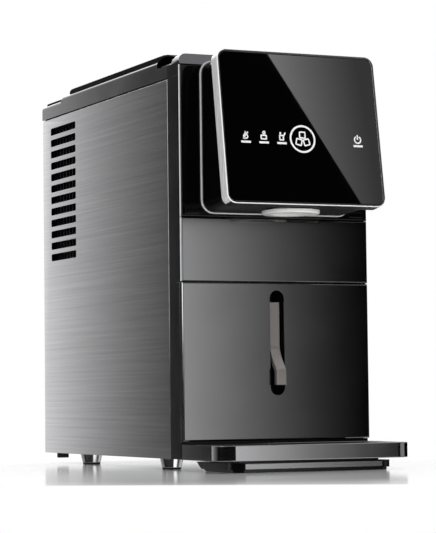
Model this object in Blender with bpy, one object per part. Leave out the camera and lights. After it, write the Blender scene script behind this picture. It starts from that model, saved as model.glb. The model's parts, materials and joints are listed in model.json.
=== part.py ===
"""Countertop nugget ice maker: a tall, deep case with a tilted control head, a cup lever and a drip tray.

Units are metres and +Z is up. The front faces -Y. The origin lies on the table, in the middle of the
machine's box, so the case's front face is at the y called front.
"""
import math

import bmesh
import bpy
from mathutils import Matrix, Vector

# Clearances and cutting
GAP = 0.0003              # between two pieces that lie against each other
RUN = 0.0006              # round a shaft that passes a wall
FIT = 0.0001              # round a pin in its bearing
OVERRUN = 0.003           # how far a cutter passes the face that it cuts
MERGE = 0.00001           # points closer than this are one point
SEAM = 0.0008             # shadow line between the two lower front panels

# Case
BODY_WIDTH = 0.220
BODY_DEPTH = 0.4217
SIDE_HEIGHT = 0.4042      # side panel, from its lower edge to the top cover
SHEET = 0.0012            # steel sheet of the sides
FLANGE_REACH = 0.012      # rear fold of a side panel
PANEL_BEND = 0.003        # outer radius of that fold
FRAME_RETURN = 0.0342     # depth of the front frame's side, from the front face
FRAME_WALL = 0.003
PAN_WALL = 0.0015
PAN_FLOOR = 0.0025
PAN_HEIGHT = 0.0156
BACK_SHEET = 0.002

# Air vents, in the sides and in the back
VENT_COUNT = 12
VENT_PITCH = 0.01385
VENT_HEIGHT = 0.0086
VENT_LENGTH = 0.0832
VENT_CORNER = 0.002
VENT_REAR = 0.0295        # from the last slot end to the back of the case
VENT_DROP = 0.01305       # from the side's top to the highest slot
BACK_VENT_LENGTH = 0.078
BACK_VENT_SPACE = 0.016   # between the two columns of rear slots

# Front panels
PANEL_THICK = 0.0045
PANEL_EDGE = 0.0012       # polished chamfer round a panel
COVER_RAISE = 0.0189      # lower cover's edge above the case's underside
COVER_HEIGHT = 0.1664
COVER_RETURN = 0.0145     # how far its sides reach back
COVER_WALL = 0.003
MIDDLE_HEIGHT = 0.0675
NOTCH_WIDTH = 0.107
NOTCH_DEPTH = 0.003
GROOVE_WIDTH = 0.0018     # shadow groove behind the front panels
GROOVE_DEPTH = 0.001
PAD_LENGTH = 0.0165       # low rib beside the neck, on the upper panel
PAD_HEIGHT = 0.0053
PAD_THICK = 0.0012
PAD_INSET = 0.0048        # from the panel's side to the rib
PAD_RAISE = 0.0034        # from the panel's lower edge to the rib

# Top cover
TOP_WALL = 0.003
BEVEL_START = 0.0113      # all rises are above the side panels' top
BEVEL_RUN = 0.009
RIDGE_RISE = 0.0236
DECK_RISE = 0.0216
TAIL_RISE = 0.017
RIDGE_END = 0.0225        # all stations are depths behind the front face
DECK_STEP = 0.001
POCKET_END = 0.0615
RAMP_START = 0.346
RAMP_END = 0.357
TAIL_ROUND = 0.006        # rear top corner
TAIL_PLATE_START = 0.3585
TAIL_PLATE_INSET = 0.0045
TAIL_PLATE_HEIGHT = 0.003
SIDE_SHADOW = 0.0012      # shadow gap between a side panel and the top cover
RIDGE_ROUND = 0.011
DECK_ROUND = 0.0038
POCKET_DEPTH = 0.020      # finger pocket, from the side inwards
POCKET_RISE = 0.0158
POCKET_EDGE = 0.0025

# Lid, its well, seal and hinge
WELL_RIM = 0.006
WELL_START = 0.0657
WELL_END = 0.343
WELL_RISE = 0.0127
OPENING_MARGIN = 0.010
OPENING_START = 0.072
OPENING_END = 0.312
LID_START = 0.0245
LID_END = 0.3342
LID_INSET = 0.0028
LID_THICK = 0.0052
LID_NOSE = 0.0255         # run of the sloping nose
LID_CROWN = 0.0015
LID_TAIL = 0.0095         # run of the rounded rear end
LID_TAIL_EDGE = 0.0012    # its height at the very end
LID_WALL = 0.0025
SKIRT_END = 0.331
SEAL_WIDTH = 0.006
SEAL_HEIGHT = 0.0023
ARCH_START = 0.028
ARCH_RISE = 0.0027
HINGE_STATION = 0.338
HINGE_DROP = 0.0028       # hinge axis below the deck
HINGE_PIN_RADIUS = 0.0016
EAR_RADIUS = 0.0036
EAR_WIDTH = 0.010
EAR_PLACE = 0.065
LUG_WIDTH = 0.008
LUG_PLACE = 0.080
LUG_INNER_PLACE = 0.050
LUG_START = 0.3345
LUG_RADIUS = 0.0028

# Neck and head
NECK_WIDTH = 0.1732
NECK_BOTTOM = 0.2586      # above the case's underside, as the next heights
NECK_TOP = 0.4186
NECK_CORNER = 0.013
NECK_WALL = 0.0026
NECK_SLOPE_RISE = 0.0036  # the underside climbs this much towards the head
TRIM_THICK = 0.002
TRIM_PROUD = 0.0012
TRIM_WIDTH = 0.0045
HEAD_WIDTH = 0.1834
HEAD_HEIGHT = 0.1642
HEAD_CORNER = 0.010
HEAD_DEPTH = 0.0160
HEAD_LEAN_DEGREES = 8.79
HEAD_CENTRE_REACH = 0.06515
HEAD_CENTRE_HEIGHT = 0.3434
BEZEL_WALL = 0.0024
BEZEL_EDGE = 0.0016
BEZEL_LEDGE = 0.0016
GLASS_THICK = 0.003
GLASS_RECESS = 0.0003
BACK_PLATE = 0.002
BOARD_WIDTH = 0.130
BOARD_HEIGHT = 0.052
BOARD_THICK = 0.0016
BOARD_DEPTH = 0.0072      # board's front, behind the head's front face
POST_RADIUS = 0.003
CHIP_SIZE = 0.014
CHIP_THICK = 0.0018
CABLE_HOLE = 0.012

# Nozzle, chute and gate
NOZZLE_REACH = 0.036
NOZZLE_RADIUS = 0.0305
NOZZLE_BORE = 0.0205
NOZZLE_HEIGHT = 0.004
NOZZLE_EDGE = 0.0012
COLLAR_RADIUS = 0.023
COLLAR_RISE = 0.012
CHUTE_INNER = 0.042
CHUTE_WALL = 0.002
CHUTE_BACK = 0.0112
CHUTE_FRONT = 0.048
CHUTE_TOP = 0.029         # above the bin auger's axis
GATE_WIDTH = 0.040
GATE_THICK = 0.002
GATE_LENGTH = 0.043
GATE_PIN_RISE = 0.023
GATE_PIN_RADIUS = 0.0015
GATE_KNUCKLE = 0.003
GATE_SPACE = 0.0024
GATE_MOTOR_RADIUS = 0.011
GATE_MOTOR_LENGTH = 0.018

# Cup lever, its channel, spring and switch
SLOT_WIDTH = 0.0166
SLOT_TOP = 0.1586         # above the lower cover's edge
SLOT_BOTTOM = 0.047
CHANNEL_INNER = 0.019
CHANNEL_WALL = 0.002
CHANNEL_FLANGE = 0.0045
CHANNEL_DEPTH = 0.0335
CHANNEL_DROP = 0.0045     # channel floor below the slot's end
CHANNEL_RISE = 0.0004     # channel roof above the slot's top
LEVER_WIDTH = 0.0112
LEVER_THICK = 0.005
LEVER_RECESS = 0.0063
LEVER_TOP = 0.146         # heights above the lower cover's edge
LEVER_BEND = 0.100
LEVER_ELBOW = 0.073
LEVER_TIP = 0.058
LEVER_REACH = 0.009
LEVER_PIVOT_DEPTH = 0.0145
LEVER_PIVOT_HEIGHT = 0.136
LEVER_BOSS = 0.006
LEVER_PIN_RADIUS = 0.0015
SPRING_WIRE = 0.0004
SPRING_RADIUS = 0.0026
SPRING_PITCH = 0.0011
SPRING_TURNS_COUNT = 2
SWITCH_WIDTH = 0.0064
SWITCH_HEIGHT = 0.012
SWITCH_DROP = 0.0193      # plunger below the lever's pivot
PLUNGER_SIZE = 0.002
PLUNGER_LENGTH = 0.0063
PLUNGER_PROUD = 0.0042
PLUNGER_POCKET = 0.0055

# Drip tray and its base
TRAY_REACH = 0.0928
TRAY_WIDTH = 0.2238
TRAY_CORNER = 0.0193
TRAY_BOTTOM = 0.0123
TRAY_HEIGHT = 0.0158
TRAY_RIM = 0.0018
TRAY_LEDGE = 0.0035
TRAY_FLOOR = 0.0025
TRAY_EDGE = 0.001
GRATE_THICK = 0.0032
GRATE_ROW_COUNT = 2
GRATE_SLOT_COUNT = 15
GRATE_SLOT_WIDTH = 0.004
GRATE_PITCH = 0.0125
GRATE_BORDER = 0.012
GRATE_RIB = 0.008
BASE_WIDTH = 0.1844
BASE_REACH = 0.0846
BASE_CORNER = 0.0133
BASE_TOP = 0.010
BASE_LIP = 0.0027
BASE_LIP_INSET = 0.003
BASE_SLANT_TOP = 0.008
BASE_SLANT_BOTTOM = 0.009
BASE_GROOVE = 0.001
PLATEAU_INSET = 0.012
PLATEAU_START = 0.002
TONGUE_WIDTH = 0.120
TONGUE_REACH = 0.045
TONGUE_BOTTOM = 0.006

# Feet
FOOT_HEIGHT = 0.0124
FOOT_TOP_RADIUS = 0.0128
FOOT_BOTTOM_RADIUS = 0.0100
FOOT_INSET = 0.022        # from the case's side to the foot's middle
FRONT_FOOT_STATION = 0.083
REAR_FOOT_SPACE = 0.1007  # from the back to the foot's middle

# Bin, its auger and motor
SHELF_RAISE = 0.2828      # shelf top above the case's underside
SHELF_SHEET = 0.0015
BULKHEAD_STATION = 0.186
BULKHEAD_TOP = 0.088      # above the shelf
TROUGH_RADIUS = 0.020
BIN_WALL = 0.0025
BIN_RUN_SLOPE = 0.026
BIN_SIDE_SPACE = 0.0045
BIN_FRONT = 0.012
BIN_HEIGHT = 0.090
BIN_FOOT_PLACE = 0.070
BIN_FOOT_WIDTH = 0.004
TUBE_RADIUS = 0.0185
TUBE_END = 0.0109
BIN_AUGER_RADIUS = 0.017
BIN_SHAFT_RADIUS = 0.004
BIN_AUGER_PITCH = 0.044
BIN_AUGER_START = 0.007
FLIGHT_THICK = 0.0022
BIN_MOTOR_SIZE = 0.046
BIN_MOTOR_DEPTH = 0.022
MOTOR_SOCKET = 0.010

# Ice barrel: freezing cylinder, auger, extruder head and gear motor
REAR_SHELF_RAISE = 0.2271
BARREL_INSET = 0.056      # from the case's left side to the barrel's axis
BARREL_SPACE = 0.006      # from the bulkhead to the barrel's flange
BARREL_RADIUS = 0.033
BARREL_BORE = 0.0185
BARREL_HEIGHT = 0.146
BARREL_FLANGE = 0.037
BARREL_FLANGE_THICK = 0.004
ICE_AUGER_RADIUS = 0.0175
ICE_SHAFT_RADIUS = 0.005
ICE_AUGER_PITCH = 0.030
ICE_AUGER_RAISE = 0.008
ICE_AUGER_LENGTH = 0.130
ICE_SHAFT_TOP = 0.160
HEAD_CAP_HEIGHT = 0.025
HEAD_CAP_FLOOR = 0.007
HEAD_CAP_WALL = 0.003
OUTLET_COUNT = 6
OUTLET_RADIUS = 0.0045
OUTLET_RING = 0.0135
SPOUT_WIDTH = 0.032
SPOUT_OVERLAP = 0.010     # how far the spout reaches over the bin
GEARBOX_RADIUS = 0.034
GEARBOX_HEIGHT = 0.038
GEAR_MOTOR_RADIUS = 0.027
GEAR_MOTOR_HEIGHT = 0.045

# Water side
TANK_LEFT_SPACE = 0.003   # from the bin motor's side to the tank
TANK_SIDE_SPACE = 0.003
TANK_FRONT_SPACE = 0.004
TANK_REAR = 0.296
TANK_HEIGHT = 0.165
TANK_WALL = 0.002
STEM_RADIUS = 0.003
FLOAT_RADIUS = 0.013
FLOAT_HEIGHT = 0.014
FLOAT_PLACE = 0.030
PUMP_INSET = 0.0308       # from the tank's right side to the pump's axis
PUMP_STATION = 0.262
PUMP_RADIUS = 0.018
PUMP_HEIGHT = 0.046
PUMP_FLANGE = 0.022
PUMP_FLANGE_THICK = 0.003
HOSE_RADIUS = 0.004
DRAIN_INSET = 0.010       # from the case's left side to the plug's axis
DRAIN_SPACE = 0.0367      # from the back to the plug's axis
DRAIN_CAP_RADIUS = 0.007
DRAIN_CAP_HEIGHT = 0.0055
DRAIN_STEM_RADIUS = 0.0042
DRAIN_STEM_LENGTH = 0.0035

# Cooling side
COMPRESSOR_INSET = 0.075  # from the case's right side to its axis
COMPRESSOR_SPACE = 0.0767 # from the back to its axis
COMPRESSOR_RADIUS = 0.050
COMPRESSOR_HEIGHT = 0.150
COMPRESSOR_ROUND = 0.008
COMPRESSOR_DOME = 0.030
COMPRESSOR_PLATE = 0.110
COMPRESSOR_PLATE_THICK = 0.003
TERMINAL_BOX = 0.026
PAD_RUBBER = 0.005
CONDENSER_DEPTH = 0.112
CONDENSER_REAR = 0.0062   # from the condenser to the back panel
CONDENSER_THICK = 0.026
CONDENSER_HEIGHT = 0.164
CONDENSER_SPACE = 0.003
FIN_COUNT = 12
FIN_THICK = 0.0014
FLAT_TUBE = 0.003
FLAT_TUBE_COUNT = 4
SHROUD_THICK = 0.026
SHROUD_RIM = 0.004
SPIDER_THICK = 0.004
SPIDER_ARM = 0.006
FAN_TIP_GAP = 0.003
FAN_HUB_RADIUS = 0.016
FAN_THICK = 0.014
FAN_BLADE_COUNT = 7
FAN_BLADE_THICK = 0.0012
FAN_SHAFT_RADIUS = 0.0025
FAN_MOTOR_RADIUS = 0.015
FAN_MOTOR_LENGTH = 0.020
PIPE_RADIUS = 0.003
PIPE_HOLE_RADIUS = 0.006

# Electrical pieces
POWER_BOARD_WIDTH = 0.084
POWER_BOARD_HEIGHT = 0.130
POWER_BOARD_INSET = 0.0107
POWER_BOARD_RAISE = 0.048
STANDOFF = 0.006
STANDOFF_RADIUS = 0.003
PART_TALL = 0.024
PART_LOW = 0.012
INLET_INSET = 0.044       # from the case's right side to the socket's middle
INLET_RAISE = 0.048
INLET_WIDTH = 0.028
INLET_HEIGHT = 0.020
INLET_FLANGE = 0.005
INLET_DEPTH = 0.018
INLET_WALL = 0.002
INLET_PIN_WIDTH = 0.002
INLET_PIN_HEIGHT = 0.004
INLET_PIN_LENGTH = 0.009
INLET_PIN_SPACE = 0.007

# Shapes of outlines, as shares of the sizes that they follow
CORNER_STEPS = 5
ROUND_SIDES = 24
SMALL_SIDES = 12
FLIGHT_STEPS = 12
BLADE_TWIST_DEGREES = 32
BLADE_SWEEP_SHARE = 0.62
CORE_SHARE = 0.5
LEAD_SHARE = 0.3
NOSE_SHARES = ((1.0, 1.0), (0.53, 0.78), (0.18, 0.42), (0.0, 0.0))
DOME_SHARES = ((1.0, 0.0), (0.97, 0.35), (0.80, 0.75), (0.45, 1.0))
LEVER_BEND_SHARES = ((0.0, 0.0), (0.06, 0.22), (0.30, 0.50), (0.62, 0.74), (0.90, 0.92), (1.0, 1.0))

# Shared places, worked out from the sizes above
half_width = BODY_WIDTH / 2
front = (TRAY_REACH - BODY_DEPTH) / 2
rear = front + BODY_DEPTH
base = FOOT_HEIGHT
pan_top = base + PAN_FLOOR
side_top = base + SIDE_HEIGHT
panel_back = front + PANEL_THICK + GAP
cover_bottom = base + COVER_RAISE
cover_top = cover_bottom + COVER_HEIGHT
middle_bottom = cover_top + SEAM
middle_top = middle_bottom + MIDDLE_HEIGHT
upper_bottom = middle_top + GAP
bevel_z = side_top + BEVEL_START
tail_z = side_top + TAIL_RISE
deck_z = side_top + DECK_RISE
ridge_z = side_top + RIDGE_RISE
well_z = side_top + WELL_RISE
ceiling_z = well_z - TOP_WALL
hinge_y = front + HINGE_STATION
hinge_z = deck_z - HINGE_DROP
inner_half = half_width - FRAME_WALL - GAP
shelf_z = base + SHELF_RAISE
auger_z = shelf_z + GAP + BIN_WALL + TROUGH_RADIUS
inlet_x = half_width - INLET_INSET
rear_shelf_z = base + REAR_SHELF_RAISE
bulkhead_front = front + BULKHEAD_STATION
bulkhead_back = bulkhead_front + SHELF_SHEET
barrel_x = BARREL_INSET - half_width
barrel_y = bulkhead_back + BARREL_SPACE + BARREL_FLANGE
barrel_z = rear_shelf_z + GAP
tank_left = BIN_MOTOR_SIZE / 2 + TANK_LEFT_SPACE
back_inside = rear - SHEET - GAP - BACK_SHEET
lever_pivot_y = front + LEVER_PIVOT_DEPTH
lever_pivot_z = cover_bottom + LEVER_PIVOT_HEIGHT
lean = math.radians(HEAD_LEAN_DEGREES)
head_centre = Vector((0, front - HEAD_CENTRE_REACH, base + HEAD_CENTRE_HEIGHT))
neck_rear = front - GAP - TRIM_THICK - GAP
shroud_bore = CONDENSER_DEPTH / 2 - SHROUD_RIM
fan_radius = shroud_bore - FAN_TIP_GAP
gate_pin_y = front - CHUTE_BACK - CHUTE_WALL - GATE_SPACE - GATE_THICK / 2
gate_pin_z = auger_z + GATE_PIN_RISE

# Surfaces: colour, roughness, metallic
FINISHES = {
    "brushed_steel": ((0.36, 0.36, 0.37), 0.34, 1.0),
    "black_plastic": ((0.012, 0.012, 0.012), 0.45, 0.0),
    "gloss_black": ((0.006, 0.006, 0.007), 0.08, 0.0),
    "gloss_grey": ((0.045, 0.045, 0.047), 0.12, 0.0),
    "bright_trim": ((0.62, 0.62, 0.63), 0.22, 1.0),
    "white_plastic": ((0.72, 0.72, 0.70), 0.35, 0.0),
    "clear_plastic": ((0.55, 0.60, 0.62), 0.20, 0.0),
    "rubber": ((0.015, 0.015, 0.015), 0.80, 0.0),
    "zinc_sheet": ((0.48, 0.49, 0.50), 0.42, 1.0),
    "stainless": ((0.56, 0.56, 0.56), 0.25, 1.0),
    "board_green": ((0.01, 0.10, 0.04), 0.50, 0.0),
    "insulation": ((0.62, 0.60, 0.52), 0.90, 0.0),
    "painted_black": ((0.010, 0.010, 0.011), 0.35, 0.2),
    "aluminium": ((0.62, 0.63, 0.64), 0.38, 1.0),
    "copper": ((0.55, 0.22, 0.10), 0.30, 1.0),
}


def clear_scene():
    """Remove every object that the file holds."""
    for obj in list(bpy.data.objects):
        bpy.data.objects.remove(obj)


def finish_material(name):
    """The Principled material of this finish, made once."""
    material = bpy.data.materials.get(name)
    if material is None:
        colour, roughness, metallic = FINISHES[name]
        material = bpy.data.materials.new(name)
        material.use_nodes = True
        shader = material.node_tree.nodes["Principled BSDF"]
        shader.inputs["Base Color"].default_value = (*colour, 1)
        shader.inputs["Roughness"].default_value = roughness
        shader.inputs["Metallic"].default_value = metallic
    return material


def object_from(bm):
    """Put a bmesh in the scene as an object, its faces turned outwards."""
    bmesh.ops.recalc_face_normals(bm, faces=bm.faces)
    mesh = bpy.data.meshes.new("work")
    bm.to_mesh(mesh)
    bm.free()
    obj = bpy.data.objects.new("work", mesh)
    bpy.context.scene.collection.objects.link(obj)
    return obj


def new_points(grown):
    """The vertices among the geometry that an extrusion made."""
    return [item for item in grown["geom"] if isinstance(item, bmesh.types.BMVert)]


def prism(outline, axis, start, end):
    """A solid with this outline in the plane square to axis, from start to end along axis."""
    order = {"X": (2, 0, 1), "Y": (0, 2, 1), "Z": (0, 1, 2)}[axis]
    bm = bmesh.new()
    corners = []
    for first, second in outline:
        values = (first, second, start)
        corners.append(bm.verts.new([values[index] for index in order]))
    grown = bmesh.ops.extrude_face_region(bm, geom=[bm.faces.new(corners)])
    travel = (0, 0, end - start)
    bmesh.ops.translate(bm, vec=[travel[index] for index in order], verts=new_points(grown))
    return object_from(bm)


def rectangle(low, high):
    """The four corners of a flat rectangle."""
    return [(low[0], low[1]), (high[0], low[1]), (high[0], high[1]), (low[0], high[1])]


def box(low, high):
    """A block between two opposite corners."""
    return prism(rectangle(low, high), "Z", low[2], high[2])


def arc(centre, radius, start, end, steps):
    """Points on a circle from start to end, in degrees."""
    points = []
    for index in range(steps + 1):
        angle = math.radians(start + (end - start) * index / steps)
        points.append((centre[0] + radius * math.cos(angle), centre[1] + radius * math.sin(angle)))
    return points


def rounded(low, high, radius, steps=CORNER_STEPS):
    """A rectangle with four rounded corners."""
    points = arc((high[0] - radius, high[1] - radius), radius, 0, 90, steps)
    points += arc((low[0] + radius, high[1] - radius), radius, 90, 180, steps)
    points += arc((low[0] + radius, low[1] + radius), radius, 180, 270, steps)
    points += arc((high[0] - radius, low[1] + radius), radius, 270, 360, steps)
    return points


def front_rounded(half, near, far, radius, steps=CORNER_STEPS):
    """A plan outline with a straight rear at far and two rounded front corners at near."""
    points = arc((-half + radius, near + radius), radius, 180, 270, steps)
    points += arc((half - radius, near + radius), radius, 270, 360, steps)
    return points + [(half, far), (-half, far)]


def rod(start, end, radius, sides=ROUND_SIDES, end_radius=None):
    """A round bar or cone between two points."""
    start = Vector(start)
    direction = Vector(end) - start
    bm = bmesh.new()
    turn = Vector((0, 0, 1)).rotation_difference(direction).to_matrix().to_4x4()
    place = Matrix.Translation(start + direction / 2) @ turn
    bmesh.ops.create_cone(bm, cap_ends=True, segments=sides, radius1=radius,
                          radius2=radius if end_radius is None else end_radius,
                          depth=direction.length, matrix=place)
    return object_from(bm)


def bar_x(start, end, place, *form, **shape):
    """A round bar along X at (y, z)."""
    return rod((start, *place), (end, *place), *form, **shape)


def bar_y(start, end, place, *form, **shape):
    """A round bar along Y at (x, z)."""
    return rod((place[0], start, place[1]), (place[0], end, place[1]), *form, **shape)


def bar_z(start, end, place, *form, **shape):
    """A round bar along Z at (x, y)."""
    return rod((*place, start), (*place, end), *form, **shape)


def turned(profile, place, steps=ROUND_SIDES):
    """A solid turned about Z from (radius, height) points whose ends lie on the axis, moved to place."""
    bm = bmesh.new()
    points = [bm.verts.new((radius, 0, height)) for radius, height in profile]
    edges = [bm.edges.new(pair) for pair in zip(points, points[1:])]
    bmesh.ops.spin(bm, geom=points + edges, axis=(0, 0, 1), cent=(0, 0, 0), steps=steps,
                   angle=math.tau, use_merge=True)
    bmesh.ops.remove_doubles(bm, verts=bm.verts, dist=MERGE)
    bmesh.ops.translate(bm, vec=place, verts=bm.verts)
    return object_from(bm)


def flight(shaft_radius, radius, thickness, pitch, length):
    """An auger's flight about Z, its lower edge starting at z = 0, sunk into the shaft's surface."""
    inner = shaft_radius * CORE_SHARE
    bm = bmesh.new()
    outline = ((inner, 0), (radius, 0), (radius, thickness), (inner, thickness))
    face = bm.faces.new([bm.verts.new((across, 0, up)) for across, up in outline])
    turns = (length - thickness) / pitch
    steps = max(1, round(turns * FLIGHT_STEPS))
    bmesh.ops.spin(bm, geom=[face], axis=(0, 0, 1), cent=(0, 0, 0), steps=steps,
                   angle=math.tau * turns, dvec=(0, 0, pitch * turns / steps))
    return object_from(bm)


def pipe(points, radius, sides_resolution):
    """A tube solid along a smooth route, with flat filled ends."""
    curve = bpy.data.curves.new("work", "CURVE")
    curve.dimensions = "3D"
    curve.bevel_depth = radius
    curve.bevel_resolution = sides_resolution
    curve.use_fill_caps = True
    spline = curve.splines.new("POLY")
    spline.points.add(len(points) - 1)
    for target, point in zip(spline.points, points):
        target.co = (*point, 1)
    obj = bpy.data.objects.new("work", curve)
    bpy.context.scene.collection.objects.link(obj)
    return obj


def smooth_route(knots, steps):
    """Points on a Catmull-Rom curve through the knots, with a straight lead at both ends."""
    knots = [Vector(knot) for knot in knots]
    first = knots[0].lerp(knots[1], LEAD_SHARE)
    last = knots[-1].lerp(knots[-2], LEAD_SHARE)
    middle = [first] + knots[1:-1] + [last]
    ends = [first * 2 - knots[1]] + middle + [last * 2 - knots[-2]]
    points = [knots[0]]
    for before, start, end, after in zip(ends, ends[1:], ends[2:], ends[3:]):
        for index in range(steps):
            t = index / steps
            bend = (end - before) * t + (before * 2 - start * 5 + end * 4 - after) * t * t
            bend += (start * 3 - before - end * 3 + after) * t * t * t
            points.append(start + bend / 2)
    return points + [last, knots[-1]]


def strip(points, thickness):
    """The outline of a flat bar of this thickness that follows the points."""
    left = []
    right = []
    for index, point in enumerate(points):
        before = Vector(points[max(index - 1, 0)])
        after = Vector(points[min(index + 1, len(points) - 1)])
        along = (after - before).normalized()
        across = Vector((-along.y, along.x)) * thickness / 2
        left.append(tuple(Vector(point) + across))
        right.append(tuple(Vector(point) - across))
    return left + right[::-1]


def combine(target, operation, tools):
    """Apply Booleans with these tools to the target, and remove the tools."""
    for tool in tools:
        change = target.modifiers.new("combine", "BOOLEAN")
        change.operation = operation
        change.solver = "EXACT"
        change.object = tool
    graph = bpy.context.evaluated_depsgraph_get()
    mesh = bpy.data.meshes.new_from_object(target.evaluated_get(graph))
    target.modifiers.clear()
    target.data = mesh
    for tool in tools:
        bpy.data.objects.remove(tool)
    return target


def cut(target, *tools):
    """Take the tools' shapes out of the target."""
    return combine(target, "DIFFERENCE", tools)


def join(target, *tools):
    """Add the tools' shapes to the target, as one body."""
    return combine(target, "UNION", tools)


def bevel(obj, width, segments, chosen):
    """Round the edges for which chosen(start, end) holds."""
    bm = bmesh.new()
    bm.from_mesh(obj.data)
    edges = [edge for edge in bm.edges if chosen(edge.verts[0].co, edge.verts[1].co)]
    bmesh.ops.bevel(bm, geom=edges, offset=width, offset_type="OFFSET", segments=segments,
                    profile=0.5, affect="EDGES", clamp_overlap=True, material=-1)
    bm.to_mesh(obj.data)
    bm.free()
    return obj


def near(value, target):
    """Whether two lengths are the same within the merging distance."""
    return abs(value - target) < MERGE


def mirrored(make):
    """The two pieces that make(side) gives for the left, -1, and the right, 1."""
    return [make(-1), make(1)]


def keep(obj, name, finish, pivot=None, parent=None):
    """Name a finished piece, dress it, and set its origin on its pivot."""
    obj.name = name
    obj.data.name = name
    obj.data.materials.clear()
    obj.data.materials.append(finish_material(finish))
    if pivot is not None:
        obj.data.transform(Matrix.Translation(-Vector(pivot)))
        obj.location = pivot
    if parent is not None:
        obj.parent = parent
    if obj.type == "MESH":
        obj.data.shade_smooth()
        obj.data.set_sharp_from_angle(angle=math.radians(35))
    return obj


def slot_cutters(rows, make):
    """Cutters for a column of equal slots, one for each row height."""
    return [make(bottom) for bottom in rows]


def vent_rows():
    """Heights of the lower edges of the vent slots."""
    highest = side_top - VENT_DROP - VENT_HEIGHT
    return [highest - VENT_PITCH * index for index in range(VENT_COUNT)]


def make_side_panel(name, side):
    """A brushed steel side: flat sheet, rear fold, and a column of vent slots."""
    outer = half_width
    inner = half_width - SHEET
    start = front + FRAME_RETURN + GAP
    fold = outer - FLANGE_REACH
    outline = [(inner, start), (outer, start)]
    outline += arc((outer - PANEL_BEND, rear - PANEL_BEND), PANEL_BEND, 0, 90, 3)
    outline += [(fold, rear), (fold, rear - SHEET)]
    outline += arc((outer - PANEL_BEND, rear - PANEL_BEND), PANEL_BEND - SHEET, 90, 0, 3)
    panel = prism([(side * x, y) for x, y in outline], "Z", base, side_top - SIDE_SHADOW)
    end = rear - VENT_REAR
    low_x, high_x = sorted((side * (inner - OVERRUN), side * (outer + OVERRUN)))

    def slot(bottom):
        shape = rounded((end - VENT_LENGTH, bottom), (end, bottom + VENT_HEIGHT), VENT_CORNER, 2)
        return prism(shape, "X", low_x, high_x)

    cut(panel, *slot_cutters(vent_rows(), slot))
    keep(panel, name, "brushed_steel")


def make_base_pan():
    """The folded pan under everything, with the drain hole."""
    outer = half_width - SHEET - GAP
    start = front + FRAME_RETURN + GAP
    end = back_inside - GAP
    pan = box((-outer, start, base), (outer, end, base + PAN_HEIGHT))
    hollow = box((-outer + PAN_WALL, start + PAN_WALL, pan_top),
                 (outer - PAN_WALL, end - PAN_WALL, base + PAN_HEIGHT + OVERRUN))
    drain = Vector((DRAIN_INSET - half_width, rear - DRAIN_SPACE, 0))
    hole = rod(drain + Vector((0, 0, base - OVERRUN)), drain + Vector((0, 0, pan_top + OVERRUN)),
               DRAIN_STEM_RADIUS + RUN, SMALL_SIDES)
    cut(pan, hollow, hole)
    keep(pan, "base_pan", "zinc_sheet")


def make_back_panel():
    """The rear sheet behind the sides' folds: two columns of slots and the inlet's hole."""
    outer = half_width - PANEL_BEND - GAP
    panel = box((-outer, back_inside, base), (outer, back_inside + BACK_SHEET, side_top))

    def pair(bottom):
        inner = BACK_VENT_SPACE / 2
        low = (-inner - BACK_VENT_LENGTH, back_inside - OVERRUN, bottom)
        high = (-inner, back_inside + BACK_SHEET + OVERRUN, bottom + VENT_HEIGHT)
        left = box(low, high)
        right = box((inner, low[1], low[2]), (inner + BACK_VENT_LENGTH, high[1], high[2]))
        return join(left, right)

    inlet = box((inlet_x - INLET_WIDTH / 2 - GAP, back_inside - OVERRUN, base + INLET_RAISE - GAP),
                (inlet_x + INLET_WIDTH / 2 + GAP, rear + OVERRUN,
                 base + INLET_RAISE + INLET_HEIGHT + GAP))
    cut(panel, inlet, *slot_cutters(vent_rows(), pair))
    keep(panel, "back_panel", "zinc_sheet")


def make_front_frame():
    """The moulded frame behind the front panels, open to the rear."""
    back = front + FRAME_RETURN
    frame = box((-half_width, panel_back, base), (half_width, back, side_top))
    inner = half_width - FRAME_WALL
    hollow = box((-inner, panel_back + FRAME_WALL, base + FRAME_WALL),
                 (inner, back + OVERRUN, side_top - FRAME_WALL))
    step = box((-half_width - OVERRUN, panel_back - OVERRUN, cover_bottom - GAP),
               (half_width + OVERRUN, front + COVER_RETURN + GAP, cover_top + GAP))
    port = bar_y(front, back, (0, auger_z), TUBE_RADIUS + BIN_WALL + RUN)

    def groove(side):
        low_x, high_x = sorted((side * (half_width - GROOVE_DEPTH), side * (half_width + OVERRUN)))
        return box((low_x, panel_back - OVERRUN, cover_top + OVERRUN),
                   (high_x, panel_back + GROOVE_WIDTH, side_top + OVERRUN))

    cut(frame, hollow, step, port, *mirrored(groove))
    keep(frame, "front_frame", "black_plastic")


def polish(panel, back):
    """Chamfer a front panel's edges round its front face, which is ahead of back."""
    return bevel(panel, PANEL_EDGE, 1, lambda a, b: near(a.y, front) and near(b.y, front)
                 and (near(abs(a.x), half_width) and near(a.x, b.x) or near(a.z, b.z) and back > front))


def make_upper_panel():
    """The black panel that carries the neck, with the ice tube's port and two low ribs."""
    top = bevel_z - GAP
    panel = box((-half_width, front, upper_bottom), (half_width, front + PANEL_THICK, top))
    panel = polish(panel, panel_back)

    def rib(side):
        outer = half_width - PAD_INSET
        low = (min(side * outer, side * (outer - PAD_LENGTH)), upper_bottom + PAD_RAISE)
        high = (max(side * outer, side * (outer - PAD_LENGTH)), upper_bottom + PAD_RAISE + PAD_HEIGHT)
        return prism(rounded(low, high, PAD_HEIGHT / 3, 2), "Y", front - PAD_THICK, front + PAD_THICK)

    join(panel, *mirrored(rib))
    port = bar_y(front - OVERRUN, panel_back + OVERRUN, (0, auger_z), TUBE_RADIUS + BIN_WALL + RUN)
    cut(panel, port)
    keep(panel, "upper_front_panel", "gloss_black")


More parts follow.
